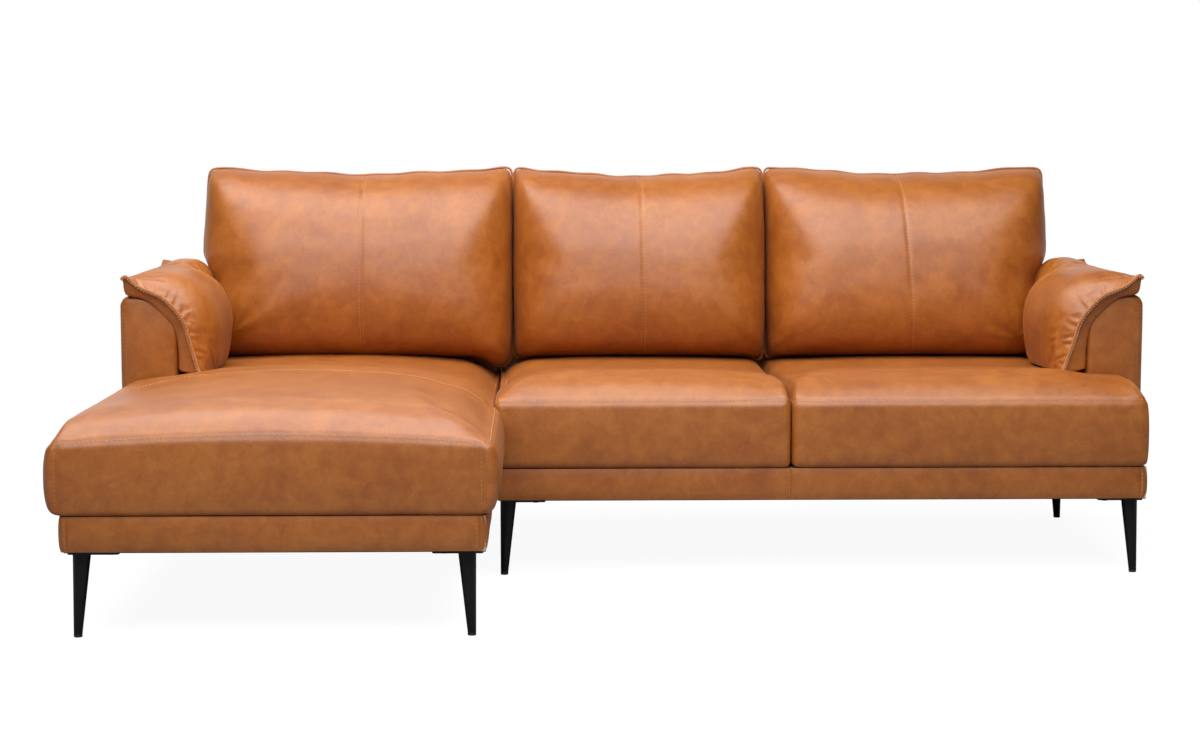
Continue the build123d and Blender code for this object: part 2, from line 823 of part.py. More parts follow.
def pillow_slice(y, top, bulge):
    """One slice of an arm pillow: it lies on the arm's top and hangs down its inner side."""
    skin = fit_gap
    over = arm_height + skin
    inside = arm_inner - skin
    outer = half_width - arm_outer_rounding / 2
    low = backs_foot + seat_settle
    turn = arm_inner_rounding
    bend = turn * (1 - sin(radians(45)))
    rim = 0.6 * top
    crest = (arm_inner + 0.1 * turn, y, over + top)
    belly = (inside - bulge, y, low + 0.45 * (over - low))
    foot = (inside - 0.55 * bulge, y, low)
    return joined(
        Line((outer, y, over), (inside + turn, y, over)),
        ThreePointArc((inside + turn, y, over), (inside + bend, y, over - bend), (inside, y, over - turn)),
        Line((inside, y, over - turn), (inside, y, low)),
        Line((inside, y, low), foot),
        ThreePointArc(foot, belly, (inside - 0.45 * bulge, y, over + 0.45 * top)),
        ThreePointArc((inside - 0.45 * bulge, y, over + 0.45 * top), crest, (outer, y, over + rim)),
        Line((outer, y, over + rim), (outer, y, over)),
    )


def arm_pillow():
    """A fibre pillow sewn over the right arm, squeezed where the back cushion leans beside it."""
    front = arm_front - pillow_overhang
    profile = (
        (0.0, pillow_ear, pillow_end),
        (0.12, 0.85 * pillow_top, 0.85 * pillow_bulge),
        (0.36, pillow_top, pillow_bulge),
        (0.58, pillow_top, 0.72 * pillow_bulge),
        (0.76, 0.9 * pillow_top, pillow_squeezed),
        (1.0, pillow_ear, pillow_squeezed),
    )
    return Solid.make_loft([pillow_slice(front + share * pillow_length, top, bulge) for share, top, bulge in profile])


def save_arms():
    pieces = {"arm_cover": [arm_case()], "arm_frame": arm_frame(), "arm_pillow": [arm_pillow()]}
    for name, solids in pieces.items():
        save(f"right_{name}", *solids)
        save(f"left_{name}", *[mirror(solid, about=Plane.YZ) for solid in solids])


os.makedirs("parts", exist_ok=True)
save_legs()
save_plinths()
save_seats()
save_backs()
save_back_cushions()
save_arms()
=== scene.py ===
import math

import bpy
import numpy as np
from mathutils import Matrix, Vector, noise
from mathutils.bvhtree import BVHTree
from mathutils.kdtree import KDTree


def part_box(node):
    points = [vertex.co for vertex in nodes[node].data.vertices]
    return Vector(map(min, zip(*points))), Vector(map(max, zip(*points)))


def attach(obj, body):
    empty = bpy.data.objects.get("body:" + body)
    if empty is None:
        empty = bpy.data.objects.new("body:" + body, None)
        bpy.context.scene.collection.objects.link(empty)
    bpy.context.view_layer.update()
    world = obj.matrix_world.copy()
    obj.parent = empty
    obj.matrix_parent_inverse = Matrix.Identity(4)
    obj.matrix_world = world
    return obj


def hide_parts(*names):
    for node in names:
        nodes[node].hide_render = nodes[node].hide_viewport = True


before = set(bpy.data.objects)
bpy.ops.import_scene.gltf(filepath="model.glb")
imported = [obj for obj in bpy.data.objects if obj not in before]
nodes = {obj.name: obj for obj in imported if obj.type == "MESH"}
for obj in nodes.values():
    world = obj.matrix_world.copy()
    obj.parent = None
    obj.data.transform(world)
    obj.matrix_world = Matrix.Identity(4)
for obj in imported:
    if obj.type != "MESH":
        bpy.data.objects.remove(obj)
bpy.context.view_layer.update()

# Legs and corner plates
# Tapered steel tubes welded under bevelled plates and powder-coated black in a satin finish.
# Three hexagon bolts hold each plate up under a corner of the plinth.


class Shade:
    """A socket of a material, on which arithmetic adds Math nodes."""

    def __init__(self, tree, socket=None):
        self.tree, self.socket = tree, socket

    def node(self, kind, settings=None, sockets=None, out=0):
        """Adds a node of a kind, with its settings and then the values or links of its sockets."""
        made = self.tree.nodes.new("ShaderNode" + kind)
        for key, value in (settings or {}).items():
            if key == "stops":
                ramp = made.color_ramp.elements
                while len(ramp) < len(value):
                    ramp.new(1.0)
                for spot, (place, colour) in zip(ramp, value):
                    spot.position, spot.color = place, colour
            else:
                setattr(made, key, value)
        for key, value in (sockets or {}).items():
            if isinstance(value, Shade):
                self.tree.links.new(value.socket, made.inputs[key])
            else:
                made.inputs[key].default_value = value
        return Shade(self.tree, made.outputs[out] if made.outputs else None)

    def maths(self, operation, first, second):
        return self.node("Math", {"operation": operation}, {0: first, 1: second})

    def __add__(self, other):
        return self.maths("ADD", self, other)

    def __mul__(self, other):
        return self.maths("MULTIPLY", self, other)

    __radd__, __rmul__ = __add__, __mul__

    def between(self, low, high):
        """A colour mixed by this value."""
        return self.node("Mix", {"data_type": "RGBA"}, {0: self, 6: low, 7: high}, out=2)

    def noise(self, scale, detail, **more):
        """Cloudy noise at this place."""
        return self.node("TexNoise", None, {"Vector": self, "Scale": scale, "Detail": detail, **more})

    def bumps(self, strength, distance):
        """A normal with this value as its height."""
        return self.node("Bump", None, {"Strength": strength, "Distance": distance, "Height": self})

    def spread(self, low, high, kind):
        """This value from low to high, as 0 to 1."""
        sockets = {"Value": self, "From Min": low, "From Max": high}
        return self.node("MapRange", {"interpolation_type": kind}, sockets)

    def ray(self, kind):
        """1 for light rays of a kind and 0 for others."""
        return self.node("LightPath", out=f"Is {kind} Ray")

    def either(self, other):
        """The larger of two values."""
        return self.maths("MAXIMUM", self, other)


def new_finish(name, fixed):
    """A material with the sockets that are the same all over, with its shader and its Object coordinates."""
    material = bpy.data.materials.new(name)
    material.use_nodes = True
    shader = material.node_tree.nodes["Principled BSDF"]
    for key, value in fixed.items():
        shader.inputs[key].default_value = value
    return material, shader, Shade(material.node_tree).node("TexCoord", out="Object")


def feed(shader, shades):
    for key, shade in shades.items():
        shade.tree.links.new(shade.socket, shader.inputs[key])


def dress(material, *names):
    for name in names:
        nodes[name].data.materials.clear()
        nodes[name].data.materials.append(material)


black_steel, shader, spot = new_finish("black_steel", {"Specular IOR Level": 0.24, "Metallic": 0.0})
peel = spot.noise(900.0, 2.0)
cloud = spot.noise(22.0, 3.0)
feed(shader, {
    "Base Color": cloud.between((0.0045, 0.0045, 0.0048, 1), (0.0090, 0.0090, 0.0094, 1)),
    "Roughness": 0.26 + 0.14 * cloud,
    "Normal": peel.bumps(0.10, 0.0004),
})
dress(black_steel, *[name for name in nodes if name.endswith("_leg")])

# Glides, bolts, nuts and connectors
# Nylon plugs in the leg tips, and leg bolts as black as their plates. Zinc-plated steel for the frame
# bolts, tee nuts, spring clips and the hooks and sockets that hold the chaise to the sofa.
nylon, shader, spot = new_finish("glide_nylon", {"Specular IOR Level": 0.35})
scuff = spot.noise(160.0, 5.0)
feed(shader, {
    "Base Color": scuff.between((0.010, 0.010, 0.010, 1), (0.045, 0.043, 0.040, 1)),
    "Roughness": 0.45 + 0.25 * scuff,
})
dress(nylon, "leg_glides")

zinc, shader, spot = new_finish("zinc_plate", {"Metallic": 1.0})
spangle = spot.node("TexVoronoi", None, {"Vector": spot, "Scale": 240.0}, out="Color")
dull = spot.noise(90.0, 4.0)
feed(shader, {
    "Base Color": dull.between((0.40, 0.41, 0.43, 1), (0.58, 0.59, 0.62, 1)),
    "Roughness": 0.28 + 0.22 * dull,
    "Normal": spangle.bumps(0.06, 0.0003),
})
dress(zinc, "leg_tee_nuts", "spring_clips", "connector_hooks", "connector_sockets", "frame_bolts")
dress(black_steel, "leg_bolts")

# Plinth timber
# Kiln-dried hardwood rails, cross rails and corner blocks, butted, glued and stapled,
# with the same timber in the frames of the arms and the backs.
timber, shader, spot = new_finish("frame_timber", {"Specular IOR Level": 0.25})
along = spot.node("Mapping", None, {"Vector": spot, "Scale": (3.0, 3.0, 26.0)})
grain = along.noise(4.0, 6.0, Distortion=1.2)
pores = along.noise(60.0, 2.0)
tones = [(0.30, (0.36, 0.22, 0.11, 1)), (0.55, (0.55, 0.37, 0.20, 1)), (0.75, (0.66, 0.48, 0.29, 1))]
feed(shader, {
    "Base Color": spot.node("ValToRGB", {"stops": tones}, {0: grain}),
    "Roughness": 0.60 + 0.25 * pores,
    "Normal": pores.bumps(0.25, 0.0006),
})
dress(timber, *[name for name in nodes if name.endswith(("_rail", "_rails", "_blocks", "_frame"))])

# Springs, felt, foam, webbing and dust covers
# Lacquered zigzag springs under a felt pad carry the foam of the seats. Elastic webbing spans the backs,
# and black spunbonded cloth is stapled under the plinths.
spring_steel, shader, spot = new_finish("spring_lacquer", {"Metallic": 0.8})
film = spot.noise(70.0, 3.0)
feed(shader, {
    "Base Color": film.between((0.030, 0.032, 0.036, 1), (0.075, 0.078, 0.085, 1)),
    "Roughness": 0.30 + 0.20 * film,
})
dress(spring_steel, "chaise_seat_springs", "sofa_seat_springs")


def fibre_finish(name, dark, light, threads, depth):
    """Matte fabric or foam: specks of two tones with a fine rough face."""
    material, shader, spot = new_finish(name, {"Specular IOR Level": 0.15})
    speck = spot.noise(threads, 4.0)
    cells = spot.node("TexVoronoi", None, {"Vector": spot, "Scale": threads * 1.6})
    feed(shader, {
        "Base Color": speck.between(dark, light),
        "Roughness": 0.85 + 0.12 * speck,
        "Normal": cells.bumps(0.4, depth),
    })
    return material


foam = fibre_finish("seat_foam", (0.72, 0.64, 0.42, 1), (0.86, 0.80, 0.60, 1), 420.0, 0.0008)
dress(foam, "chaise_seat_foam", "middle_seat_foam", "right_seat_foam")
felt = fibre_finish("spring_felt", (0.16, 0.155, 0.15, 1), (0.36, 0.35, 0.34, 1), 300.0, 0.0010)
dress(felt, "chaise_spring_pad", "sofa_spring_pad")
webbing = fibre_finish("back_webbing", (0.05, 0.05, 0.055, 1), (0.14, 0.135, 0.13, 1), 650.0, 0.0006)
dress(webbing, "chaise_back_webbing", "sofa_back_webbing")
dust_cloth = fibre_finish("dust_cloth", (0.012, 0.012, 0.013, 1), (0.030, 0.030, 0.032, 1), 900.0, 0.0003)
dress(dust_cloth, "chaise_dust_cover", "sofa_dust_cover")

# Aprons
# Bands of cognac leather over thin wadding, pulled round the plinth rails and stapled underneath,
# with top-stitched seams at the front corners and under the split between the seats.


def leather_finish(name):
    """Pull-up aniline leather: clouded cognac, pebbled grain, fine creases and a soft sheen."""
    material, shader, spot = new_finish(name, {
        "Specular IOR Level": 0.78, "Coat Roughness": 0.34, "Coat IOR": 1.40, "Sheen Weight": 0.04,
        "Sheen Roughness": 0.42, "Sheen Tint": (1.0, 0.84, 0.70, 1)})
    cloud = spot.noise(5.2, 4.0, Roughness=0.56, Distortion=0.5)
    patch = spot.noise(30.0, 6.0, Roughness=0.62, Distortion=0.5)
    fleck = spot.noise(210.0, 3.0)
    pebble = spot.node(
        "TexVoronoi", {"feature": "SMOOTH_F1"}, {"Vector": spot, "Scale": 620.0, "Smoothness": 0.35})
    crease = spot.node("TexVoronoi", {"feature": "DISTANCE_TO_EDGE"}, {"Vector": spot, "Scale": 190.0})
    tone = 0.36 * cloud + 0.46 * patch + 0.18 * fleck
    colour = spot.node("ValToRGB", {"stops": [
        (0.32, (0.262, 0.061, 0.003, 1)), (0.46, (0.350, 0.095, 0.006, 1)),
        (0.55, (0.408, 0.121, 0.010, 1)), (0.70, (0.495, 0.167, 0.024, 1))]}, {0: tone})
    creased = crease.maths("MINIMUM", crease, 0.12) * 4.0
    height = 0.55 * pebble + 0.30 * fleck + 0.25 * creased
    feed(shader, {
        "Base Color": colour,
        "Roughness": 0.36 + 0.16 * patch,
        "Coat Weight": 0.01 + 0.05 * cloud,
        "Normal": height.bumps(0.16, 0.0009),
    })
    return material


leather = leather_finish("cognac_leather")

thread, shader, spot = new_finish("tan_thread", {"Specular IOR Level": 0.3, "Sheen Weight": 0.2})
twist = spot.node("TexWave", None, {"Vector": spot, "Scale": 420.0, "Distortion": 2.0})
feed(shader, {
    "Base Color": twist.between((0.50, 0.25, 0.09, 1), (0.68, 0.38, 0.17, 1)),
    "Roughness": 0.55 + 0.2 * twist,
})


def fresh_cube(name, low, high):
    """A cube between two corners, with everything else deselected."""
    bpy.ops.object.select_all(action="DESELECT")
    bpy.ops.mesh.primitive_cube_add(size=1.0)
    piece = bpy.context.object
    piece.name = name
    piece.location = [(a + b) / 2 for a, b in zip(low, high)]
    piece.scale = [b - a for a, b in zip(low, high)]
    bpy.ops.object.transform_apply(location=True, rotation=True, scale=True)
    return piece


def pick(piece, kind, test):
    """Goes into edit mode with the edges or faces selected whose vertices pass a test."""
    bpy.ops.object.mode_set(mode="EDIT")
    bpy.ops.mesh.select_mode(type=kind)
    bpy.ops.mesh.select_all(action="DESELECT")
    bpy.ops.object.mode_set(mode="OBJECT")
    mesh = piece.data
    for part in mesh.edges if kind == "EDGE" else mesh.polygons:
        part.select = test([mesh.vertices[index].co for index in part.vertices])
    bpy.ops.object.mode_set(mode="EDIT")


def remove_faces(piece, test):
    pick(piece, "FACE", test)
    bpy.ops.mesh.delete(type="FACE")
    bpy.ops.object.mode_set(mode="OBJECT")


def round_off(piece, test, offset, segments):
    """Bevels the edges whose vertices pass a test."""
    pick(piece, "EDGE", test)
    bpy.ops.mesh.bevel(offset=offset, segments=segments, affect="EDGES")
    bpy.ops.object.mode_set(mode="OBJECT")


def divide(piece, test, cuts):
    """Cuts the edges whose vertices pass a test into equal lengths."""
    pick(piece, "EDGE", test)
    bpy.ops.mesh.subdivide(number_cuts=cuts)
    bpy.ops.object.mode_set(mode="OBJECT")


def slice_at(piece, place, normal):
    """Adds a line of edges where a plane meets a piece."""
    bpy.context.view_layer.objects.active = piece
    bpy.ops.object.mode_set(mode="EDIT")
    bpy.ops.mesh.select_all(action="SELECT")
    bpy.ops.mesh.bisect(plane_co=place, plane_no=normal)
    bpy.ops.object.mode_set(mode="OBJECT")


def points_of(piece):
    spots = np.empty(len(piece.data.vertices) * 3)
    piece.data.vertices.foreach_get("co", spots)
    return spots.reshape(-1, 3)


def normals_of(piece):
    facing = np.empty(len(piece.data.vertices) * 3, dtype=np.float32)
    piece.data.vertex_normals.foreach_get("vector", facing)
    return facing.reshape(-1, 3).astype(float)


def move_points(piece, spots):
    piece.data.vertices.foreach_set("co", np.ascontiguousarray(spots).ravel())
    piece.data.update()


def finish_with(piece, kind, **settings):
    """Adds a modifier and applies it."""
    bpy.context.view_layer.objects.active = piece
    modifier = piece.modifiers.new(kind.lower(), kind)
    for key, value in settings.items():
        setattr(modifier, key, value)
    bpy.ops.object.modifier_apply(modifier=modifier.name)


def smooth_noise(spots, scale, seed):
    """Slow random waves over points, from -1 to 1."""
    shift = Vector((seed * 7.31, seed * 3.17, seed * 5.73))
    return np.array([noise.noise(Vector(spot) * scale + shift) for spot in spots])


def near(values, at, width):
    """A bell of height 1 round a value."""
    return np.exp(-(((values - at) / width) ** 2))


def done(piece, material, body, smooth=50):
    """Gives a piece its finish and its body."""
    bpy.ops.object.select_all(action="DESELECT")
    piece.select_set(True)
    bpy.context.view_layer.objects.active = piece
    bpy.ops.object.shade_smooth_by_angle(angle=math.radians(smooth))
    piece.data.materials.clear()
    piece.data.materials.append(material)
    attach(piece, body)


def surface_of(piece):
    mesh = piece.data
    return BVHTree.FromPolygons([v.co[:] for v in mesh.vertices], [p.vertices[:] for p in mesh.polygons])


def drawn_on(tree, line, towards, step=0.003, start=0.5):
    """A line of points laid on a surface along a direction, evenly spaced: places and normals.

    Each point is cast from a start well outside the piece.
    """
    towards = Vector(towards)
    hits = [tree.ray_cast(Vector(spot) - towards * start, towards)[0] for spot in line]
    hits = [place for place in hits if place is not None]
    path = [hits[0]]
    for goal in hits[1:]:
        gap = (goal - path[-1]).length
        while gap > step:
            path.append(path[-1] + (goal - path[-1]) * (step / gap))
            gap = (goal - path[-1]).length
    found = [tree.find_nearest(spot) for spot in path]
    return [(place, facing) for place, facing, _, _ in found if place is not None]


def pressed(piece, path, depth, width):
    """Draws the leather in along a seam."""
    tree = KDTree(len(path))
    for index, (place, _) in enumerate(path):
        tree.insert(place, index)
    tree.balance()
    spots, facing = points_of(piece), normals_of(piece)
    apart = np.array([tree.find(spot)[2] for spot in spots])
    move_points(piece, spots - facing * (depth * near(apart, 0, width))[:, None])


def sewn(name, rows, body, long=0.0054, gap=0.0020, thick=0.00062):
    """Rows of thread stitches half sunk in the leather: one stitch, copied along the rows."""
    places, alongs, sides, ups = [], [], [], []
    for path in rows:
        reach = 0.0
        for (a, up), (b, _) in zip(path, path[1:]):
            reach += (b - a).length
            if reach >= long + gap:
                reach = 0.0
                along = (b - a).normalized()
                side = up.cross(along).normalized()
                places.append(a)
                alongs.append(along)
                sides.append(side)
                ups.append(along.cross(side))
    bpy.ops.object.select_all(action="DESELECT")
    bpy.ops.mesh.primitive_uv_sphere_add(segments=6, ring_count=4, radius=1.0)
    piece = bpy.context.object
    piece.name = name
    shape = points_of(piece)
    finish_with(piece, "ARRAY", count=len(places), use_relative_offset=False)
    spots = np.array(places)[:, None, :] + (long / 2) * shape[None, :, 2:3] * np.array(alongs)[:, None, :]
    spots = spots + thick * shape[None, :, 0:1] * np.array(sides)[:, None, :]
    spots = spots + thick * shape[None, :, 1:2] * np.array(ups)[:, None, :]
    move_points(piece, spots.reshape(-1, 3))
    done(piece, thread, body, 80)


def beside(tree, path, shift):
    """A row next to a seam, at a distance across it on the surface."""
    row = []
    for (a, up), (b, _) in zip(path, path[1:]):
        across = up.cross(b - a)
        if across.length > 0:
            row.append(tree.find_nearest(a + across.normalized() * shift)[:2])
    return row


def apron_band(name, low, high, open_left, x_seams):
    """One leather band: a cube opened above and below, rounded, thickened and softly padded."""
    leather_thick, corner_round = 0.0028, 0.014
    piece = fresh_cube(name, low, high)
    remove_faces(piece, lambda vs: max(v.z for v in vs) - min(v.z for v in vs) < 0.001)
    if open_left:
        remove_faces(piece, lambda vs: max(v.x for v in vs) < low.x + 0.001)
    round_off(piece, lambda vs: abs(vs[0].z - vs[1].z) > 0.01, corner_round, 5)
    divide(piece, lambda vs: abs(vs[0].z - vs[1].z) > 0.01, 9)
    divide(piece, lambda vs: (vs[0] - vs[1]).length > 0.3, 70)
    for x in x_seams:
        for aside in (-0.006, -0.003, -0.0012, 0.0, 0.0012, 0.003, 0.006):
            slice_at(piece, (x + aside, 0, 0), (1, 0, 0))
    finish_with(piece, "SOLIDIFY", thickness=leather_thick, offset=-1.0)
    spots, facing = points_of(piece), normals_of(piece)
    facing[:, 2] = 0
    middle = np.array([(a + b) / 2 for a, b in zip(low, high)])
    away = np.sign(spots - middle)
    push = np.where(np.abs(facing) > 0.5, away * np.abs(facing), 0)
    up = (spots[:, 2] - low[2]) / (high[2] - low[2])
    padding, foot_pull, head_pull = 0.0022, 0.0035, 0.002
    puff = padding * (1 - (2 * up - 1) ** 2)
    puff = puff - foot_pull * np.exp(-up / 0.07) - head_pull * np.exp(-(1 - up) / 0.06)
    puff += 0.0009 * smooth_noise(spots, 9.0, 1)
    spots += push * puff[:, None]
    spots[:, 2] += 0.0012 * smooth_noise(spots, 6.0, 2) * np.exp(-up / 0.2)
    move_points(piece, spots)
    return piece


chaise_low, chaise_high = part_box("chaise_apron")
chaise_low.x -= 0.007
sofa_low, sofa_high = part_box("sofa_apron")
seat_split, corner_seam, aside_seam = 0.343, 0.016, 0.004

chaise_seams = (chaise_low.x + corner_seam, chaise_high.x - corner_seam)
sofa_seams = (seat_split, sofa_high.x - corner_seam)
chaise_apron = apron_band("chaise_apron_band", chaise_low, chaise_high, False, chaise_seams)
sofa_apron = apron_band("sofa_apron_band", sofa_low, sofa_high, True, sofa_seams)
for piece, x_seams, front in (
    (chaise_apron, chaise_seams, chaise_low.y),
    (sofa_apron, sofa_seams, sofa_low.y),
):
    tree = surface_of(piece)
    rows = []
    for x in x_seams:
        line = [(x, front, z) for z in np.linspace(chaise_low.z + 0.004, chaise_high.z - 0.002, 12)]
        path = drawn_on(tree, line, (0, 1, 0))
        pressed(piece, path, 0.0026, 0.0020)
        rows.append(beside(surface_of(piece), path, aside_seam if x < seat_split + 0.1 else -aside_seam))
    done(piece, leather, "sofa_frame")
    sewn(piece.name + "_stitching", rows, "sofa_frame")
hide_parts("chaise_apron")
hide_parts("sofa_apron")

# Seats
# Three foam seats under one leather cover each: a crowned top panel sewn to a band along the front and
# sides, pulled down and stapled to the rails. The outer seats run out in front of the arms.


def swelled(piece, hold, pressure, most, slack=0.0, frames=16, grid=None):
    """Lets the leather swell over its filling by at most a distance, held where it is sewn or pinned down.

    With a grid, the cloth is worked out on a coarser copy, and its shift is then carried over to the piece.
    """
    rough = piece.copy()
    rough.data = piece.data.copy()
    bpy.context.scene.collection.objects.link(rough)
    if grid:
        finish_with(rough, "REMESH", mode="VOXEL", voxel_size=grid)
    before = points_of(rough)
    held = hold(before, normals_of(rough))
    group = rough.vertex_groups.new(name="held")
    for index in np.nonzero(held > 0.01)[0]:
        group.add([int(index)], float(held[index]), "REPLACE")
    cloth = rough.modifiers.new("swelling", "CLOTH")
    settings = cloth.settings
    settings.quality = 4
    settings.mass = 0.4
    settings.tension_stiffness = settings.compression_stiffness = 12.0
    settings.bending_stiffness = 1.5
    settings.use_pressure = True
    settings.uniform_pressure_force = pressure
    settings.vertex_group_mass = "held"
    settings.shrink_min = -slack
    settings.effector_weights.gravity = 0.0
    cloth.collision_settings.use_collision = False
    cloth.point_cache.frame_start, cloth.point_cache.frame_end = 1, frames
    for number in range(1, frames + 1):
        bpy.context.scene.frame_set(number)
    bpy.context.view_layer.objects.active = rough
    bpy.ops.object.modifier_apply(modifier=cloth.name)
    bpy.context.scene.frame_set(1)
    shift = points_of(rough) - before
    bpy.data.objects.remove(rough)
    length = np.linalg.norm(shift, axis=1, keepdims=True) + 1e-9
    shift = shift * (most * np.tanh(length / most) / length)
    spots = points_of(piece)
    if grid:
        tree = KDTree(len(before))
        for index, spot in enumerate(before):
            tree.insert(spot, index)
        tree.balance()
        carried = np.empty_like(spots)
        neighbours, soften = 5, 2e-6
        for index, spot in enumerate(spots):
            found = tree.find_n(spot, neighbours)
            share = np.array([1.0 / (gap * gap + soften) for _, _, gap in found])
            carried[index] = share @ shift[[k for _, k, _ in found]] / share.sum()
        shift = carried
    move_points(piece, spots + shift)


def eased(share):
    """A share from 0 to 1 that starts and ends gently."""
    share = np.clip(share, 0, 1)
    return share * share * (3 - 2 * share)


def rolled(gap, reach, least=0.0, steep=2.2):
    """Share of a panel's full height at a gap from its seam, rising steeply first and then levelling out."""
    return 1 - (1 - least) * np.clip(1 - gap / reach, 0, 1) ** steep


def seat_cushion(name, low, high, seam_at, arm, crown, bulge, corner, rolls, seed):
    """A seat: a block cut out for the arm, rounded, crowned and swelled between its seams.

    The arm is -1 at the left, 1 at the right and 0 for none. The bulges are those of the left, right and
    front, and the rolls are where the top panel comes down at the left and right.
    """
    arm_inside, arm_front, arm_gap = 1.0385, 0.0765, 0.08
    left, right, seam, lip = low[0], high[0], 0.391, 0.006
    top = seam + lip
    x_main = (left if arm >= 0 else -arm_inside, right if arm <= 0 else arm_inside)
    piece = fresh_cube(name, (x_main[0], low[1], low[2]), (x_main[1], high[1], top))
    if arm:
        slice_at(piece, (0, arm_front, 0), (0, 1, 0))
        edge, outer = (x_main[0], left) if arm < 0 else (x_main[1], right)
        pick(piece, "FACE", lambda vs: all(abs(v.x - edge) < 1e-4 and v.y < arm_gap for v in vs))
        bpy.ops.mesh.extrude_region_move(TRANSFORM_OT_translate={"value": (outer - edge, 0, 0)})
        bpy.ops.mesh.select_all(action="SELECT")
        bpy.ops.mesh.dissolve_limited(angle_limit=0.01)
        bpy.ops.object.mode_set(mode="OBJECT")
    round_off(piece, lambda vs: abs(vs[0].z - vs[1].z) > 0.05 and vs[0].y < low[1] + 0.01, corner, 5)
    round_off(piece, lambda vs: all(v.z > top - 0.001 for v in vs), lip - 0.0005, 3)
    round_off(piece, lambda vs: all(v.z < low[2] + 0.001 for v in vs), 0.010, 4)
    finish_with(piece, "REMESH", mode="VOXEL", voxel_size=0.0086)
    finish_with(piece, "SMOOTH", factor=0.5, iterations=1)
    spots, facing = points_of(piece), normals_of(piece)
    x, y, z = spots.T
    u = (x - (left + right) / 2) / ((right - left) / 2)
    above = np.clip((z - seam) / lip, 0, 1)
    panel_rise, rear_drop, front_roll, fullness = 0.038, 0.019, 0.100, 2.6
    rise = panel_rise + crown * (1 - np.abs(u) ** fullness)
    rise = rise * rolled(x - left, *rolls[0]) * rolled(right - x, *rolls[1])
    rise = (rise - rear_drop * eased(y / 0.35)) * rolled(y - low[1], front_roll)
    spots[:, 2] += above * rise + (seam_at(x) - seam) * np.clip((z - low[2]) / (seam - low[2]), 0, 1)
    waist = np.abs((z - (low[2] + seam) / 2) / ((seam - low[2]) / 2 + 0.010))
    waist = np.clip(1 - waist ** fullness, 0, 1)
    flat = facing * np.array([1, 1, 0])
    swell = np.where(flat[:, 0] < -0.5, bulge[0](y), np.where(flat[:, 0] > 0.5, bulge[1](y), 0.0))
    swell = swell * np.abs(flat[:, 0]) + np.where(flat[:, 1] < -0.5, bulge[2], 0.0) * np.abs(flat[:, 1])
    spots += flat * (waist * swell)[:, None]
    spots += facing * (0.0010 * smooth_noise(spots, 7.0, seed))[:, None]
    move_points(piece, spots)

    def hold(spots, facing):
        """Sewn along the top seam, stapled underneath and wedged at the rear."""
        x, y, z = spots.T
        held = np.maximum(near(z, seam_at(x), 0.010) * (y < 0.2), z < low[2] + 0.014)
        return np.maximum(held, y > high[1] - 0.03)

    swelled(piece, hold, 3.0, 0.005, frames=12, grid=0.015)
    finish_with(piece, "SUBSURF", levels=1, render_levels=1)
    return piece


def seat_seams(piece, low, high, seam_at, sides):
    """The seam round the front of the top panel and along the given sides: (place, normal) on the leather."""
    tree = surface_of(piece)
    left, right, front, inset = low[0], high[0], low[1], 0.004
    across = np.linspace(left + inset, right - inset, 90)
    paths = [drawn_on(tree, [(x, front, seam_at(x)) for x in across], (0, 1, 0))]
    for x, towards, end in sides:
        line = [(x, y, seam_at(x) + 0.002) for y in np.linspace(front + inset, end, 60)]
        paths.append(drawn_on(tree, line, (towards, 0, 0)))
    return tree, paths


def chaise_seam(x):
    """Height of the chaise seat's top seam, highest in the middle."""
    return 0.399 - 0.016 * ((x + 0.733) / 0.41) ** 2


def sofa_seam(x):
    return 0.3915 + 0 * x


def flush(y):
    """A side without a bulge."""
    return 0 * y


seat_foot, seat_rear, sofa_front, unit_joint = 0.2432, 0.688, -0.120, -0.3160
chaise_left, chaise_front, sofa_right = -1.160, -0.797, 1.137
split_left, split_right = 0.3425, 0.3435
seam_depth, seam_width, stitch_gap = 0.0008, 0.0045, 0.0030
seat_stitch = {"long": 0.0062, "gap": 0.0004, "thick": 0.00085}

chaise_seat_low, chaise_seat_high = (chaise_left, chaise_front, seat_foot), (unit_joint, seat_rear, 0.0)
chaise_bulge = (
    lambda y: np.where(y < 0.07, 0.018, 0.0), lambda y: 0.023 / (1 + np.exp((y + 0.15) / 0.008)), 0.004)
chaise_seat = seat_cushion(
    "chaise_seat", chaise_seat_low, chaise_seat_high, chaise_seam, -1, 0.013, chaise_bulge, 0.016,
    ((0.022, 0.34), (0.080,)), 3)
tree, chaise_paths = seat_seams(
    chaise_seat, chaise_seat_low, chaise_seat_high, chaise_seam,
    ((chaise_left, 1, 0.06), (unit_joint, -1, -0.15)))
corner_paths = []
for x in (-1.148, -0.326):
    line = [(x, chaise_front, z) for z in np.linspace(0.262, 0.378, 20)]
    corner_paths.append(drawn_on(tree, line, (0, 1, 0)))
crossing = [(-1.13 + 0.80 * k, -0.06 - 0.15 * abs(2 * k - 0.95) ** 2.2, 0.45) for k in np.linspace(0, 1, 80)]
crossing = drawn_on(tree, crossing, (0, 0, -1))
for path in chaise_paths:
    pressed(chaise_seat, path, seam_depth, seam_width)
for path in corner_paths + [crossing]:
    pressed(chaise_seat, path, 0.0014, seam_width)
done(chaise_seat, leather, "sofa_frame", 180)
tree = surface_of(chaise_seat)
rows = [beside(tree, path, stitch_gap) for path in chaise_paths + [crossing]]
sewn("chaise_seat_stitching", rows, "sofa_frame", **seat_stitch)
rows = [beside(tree, path, stitch_gap) for path in corner_paths]
sewn("chaise_corner_stitching", rows, "sofa_frame", thick=0.00045)
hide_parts("chaise_seat_cover")

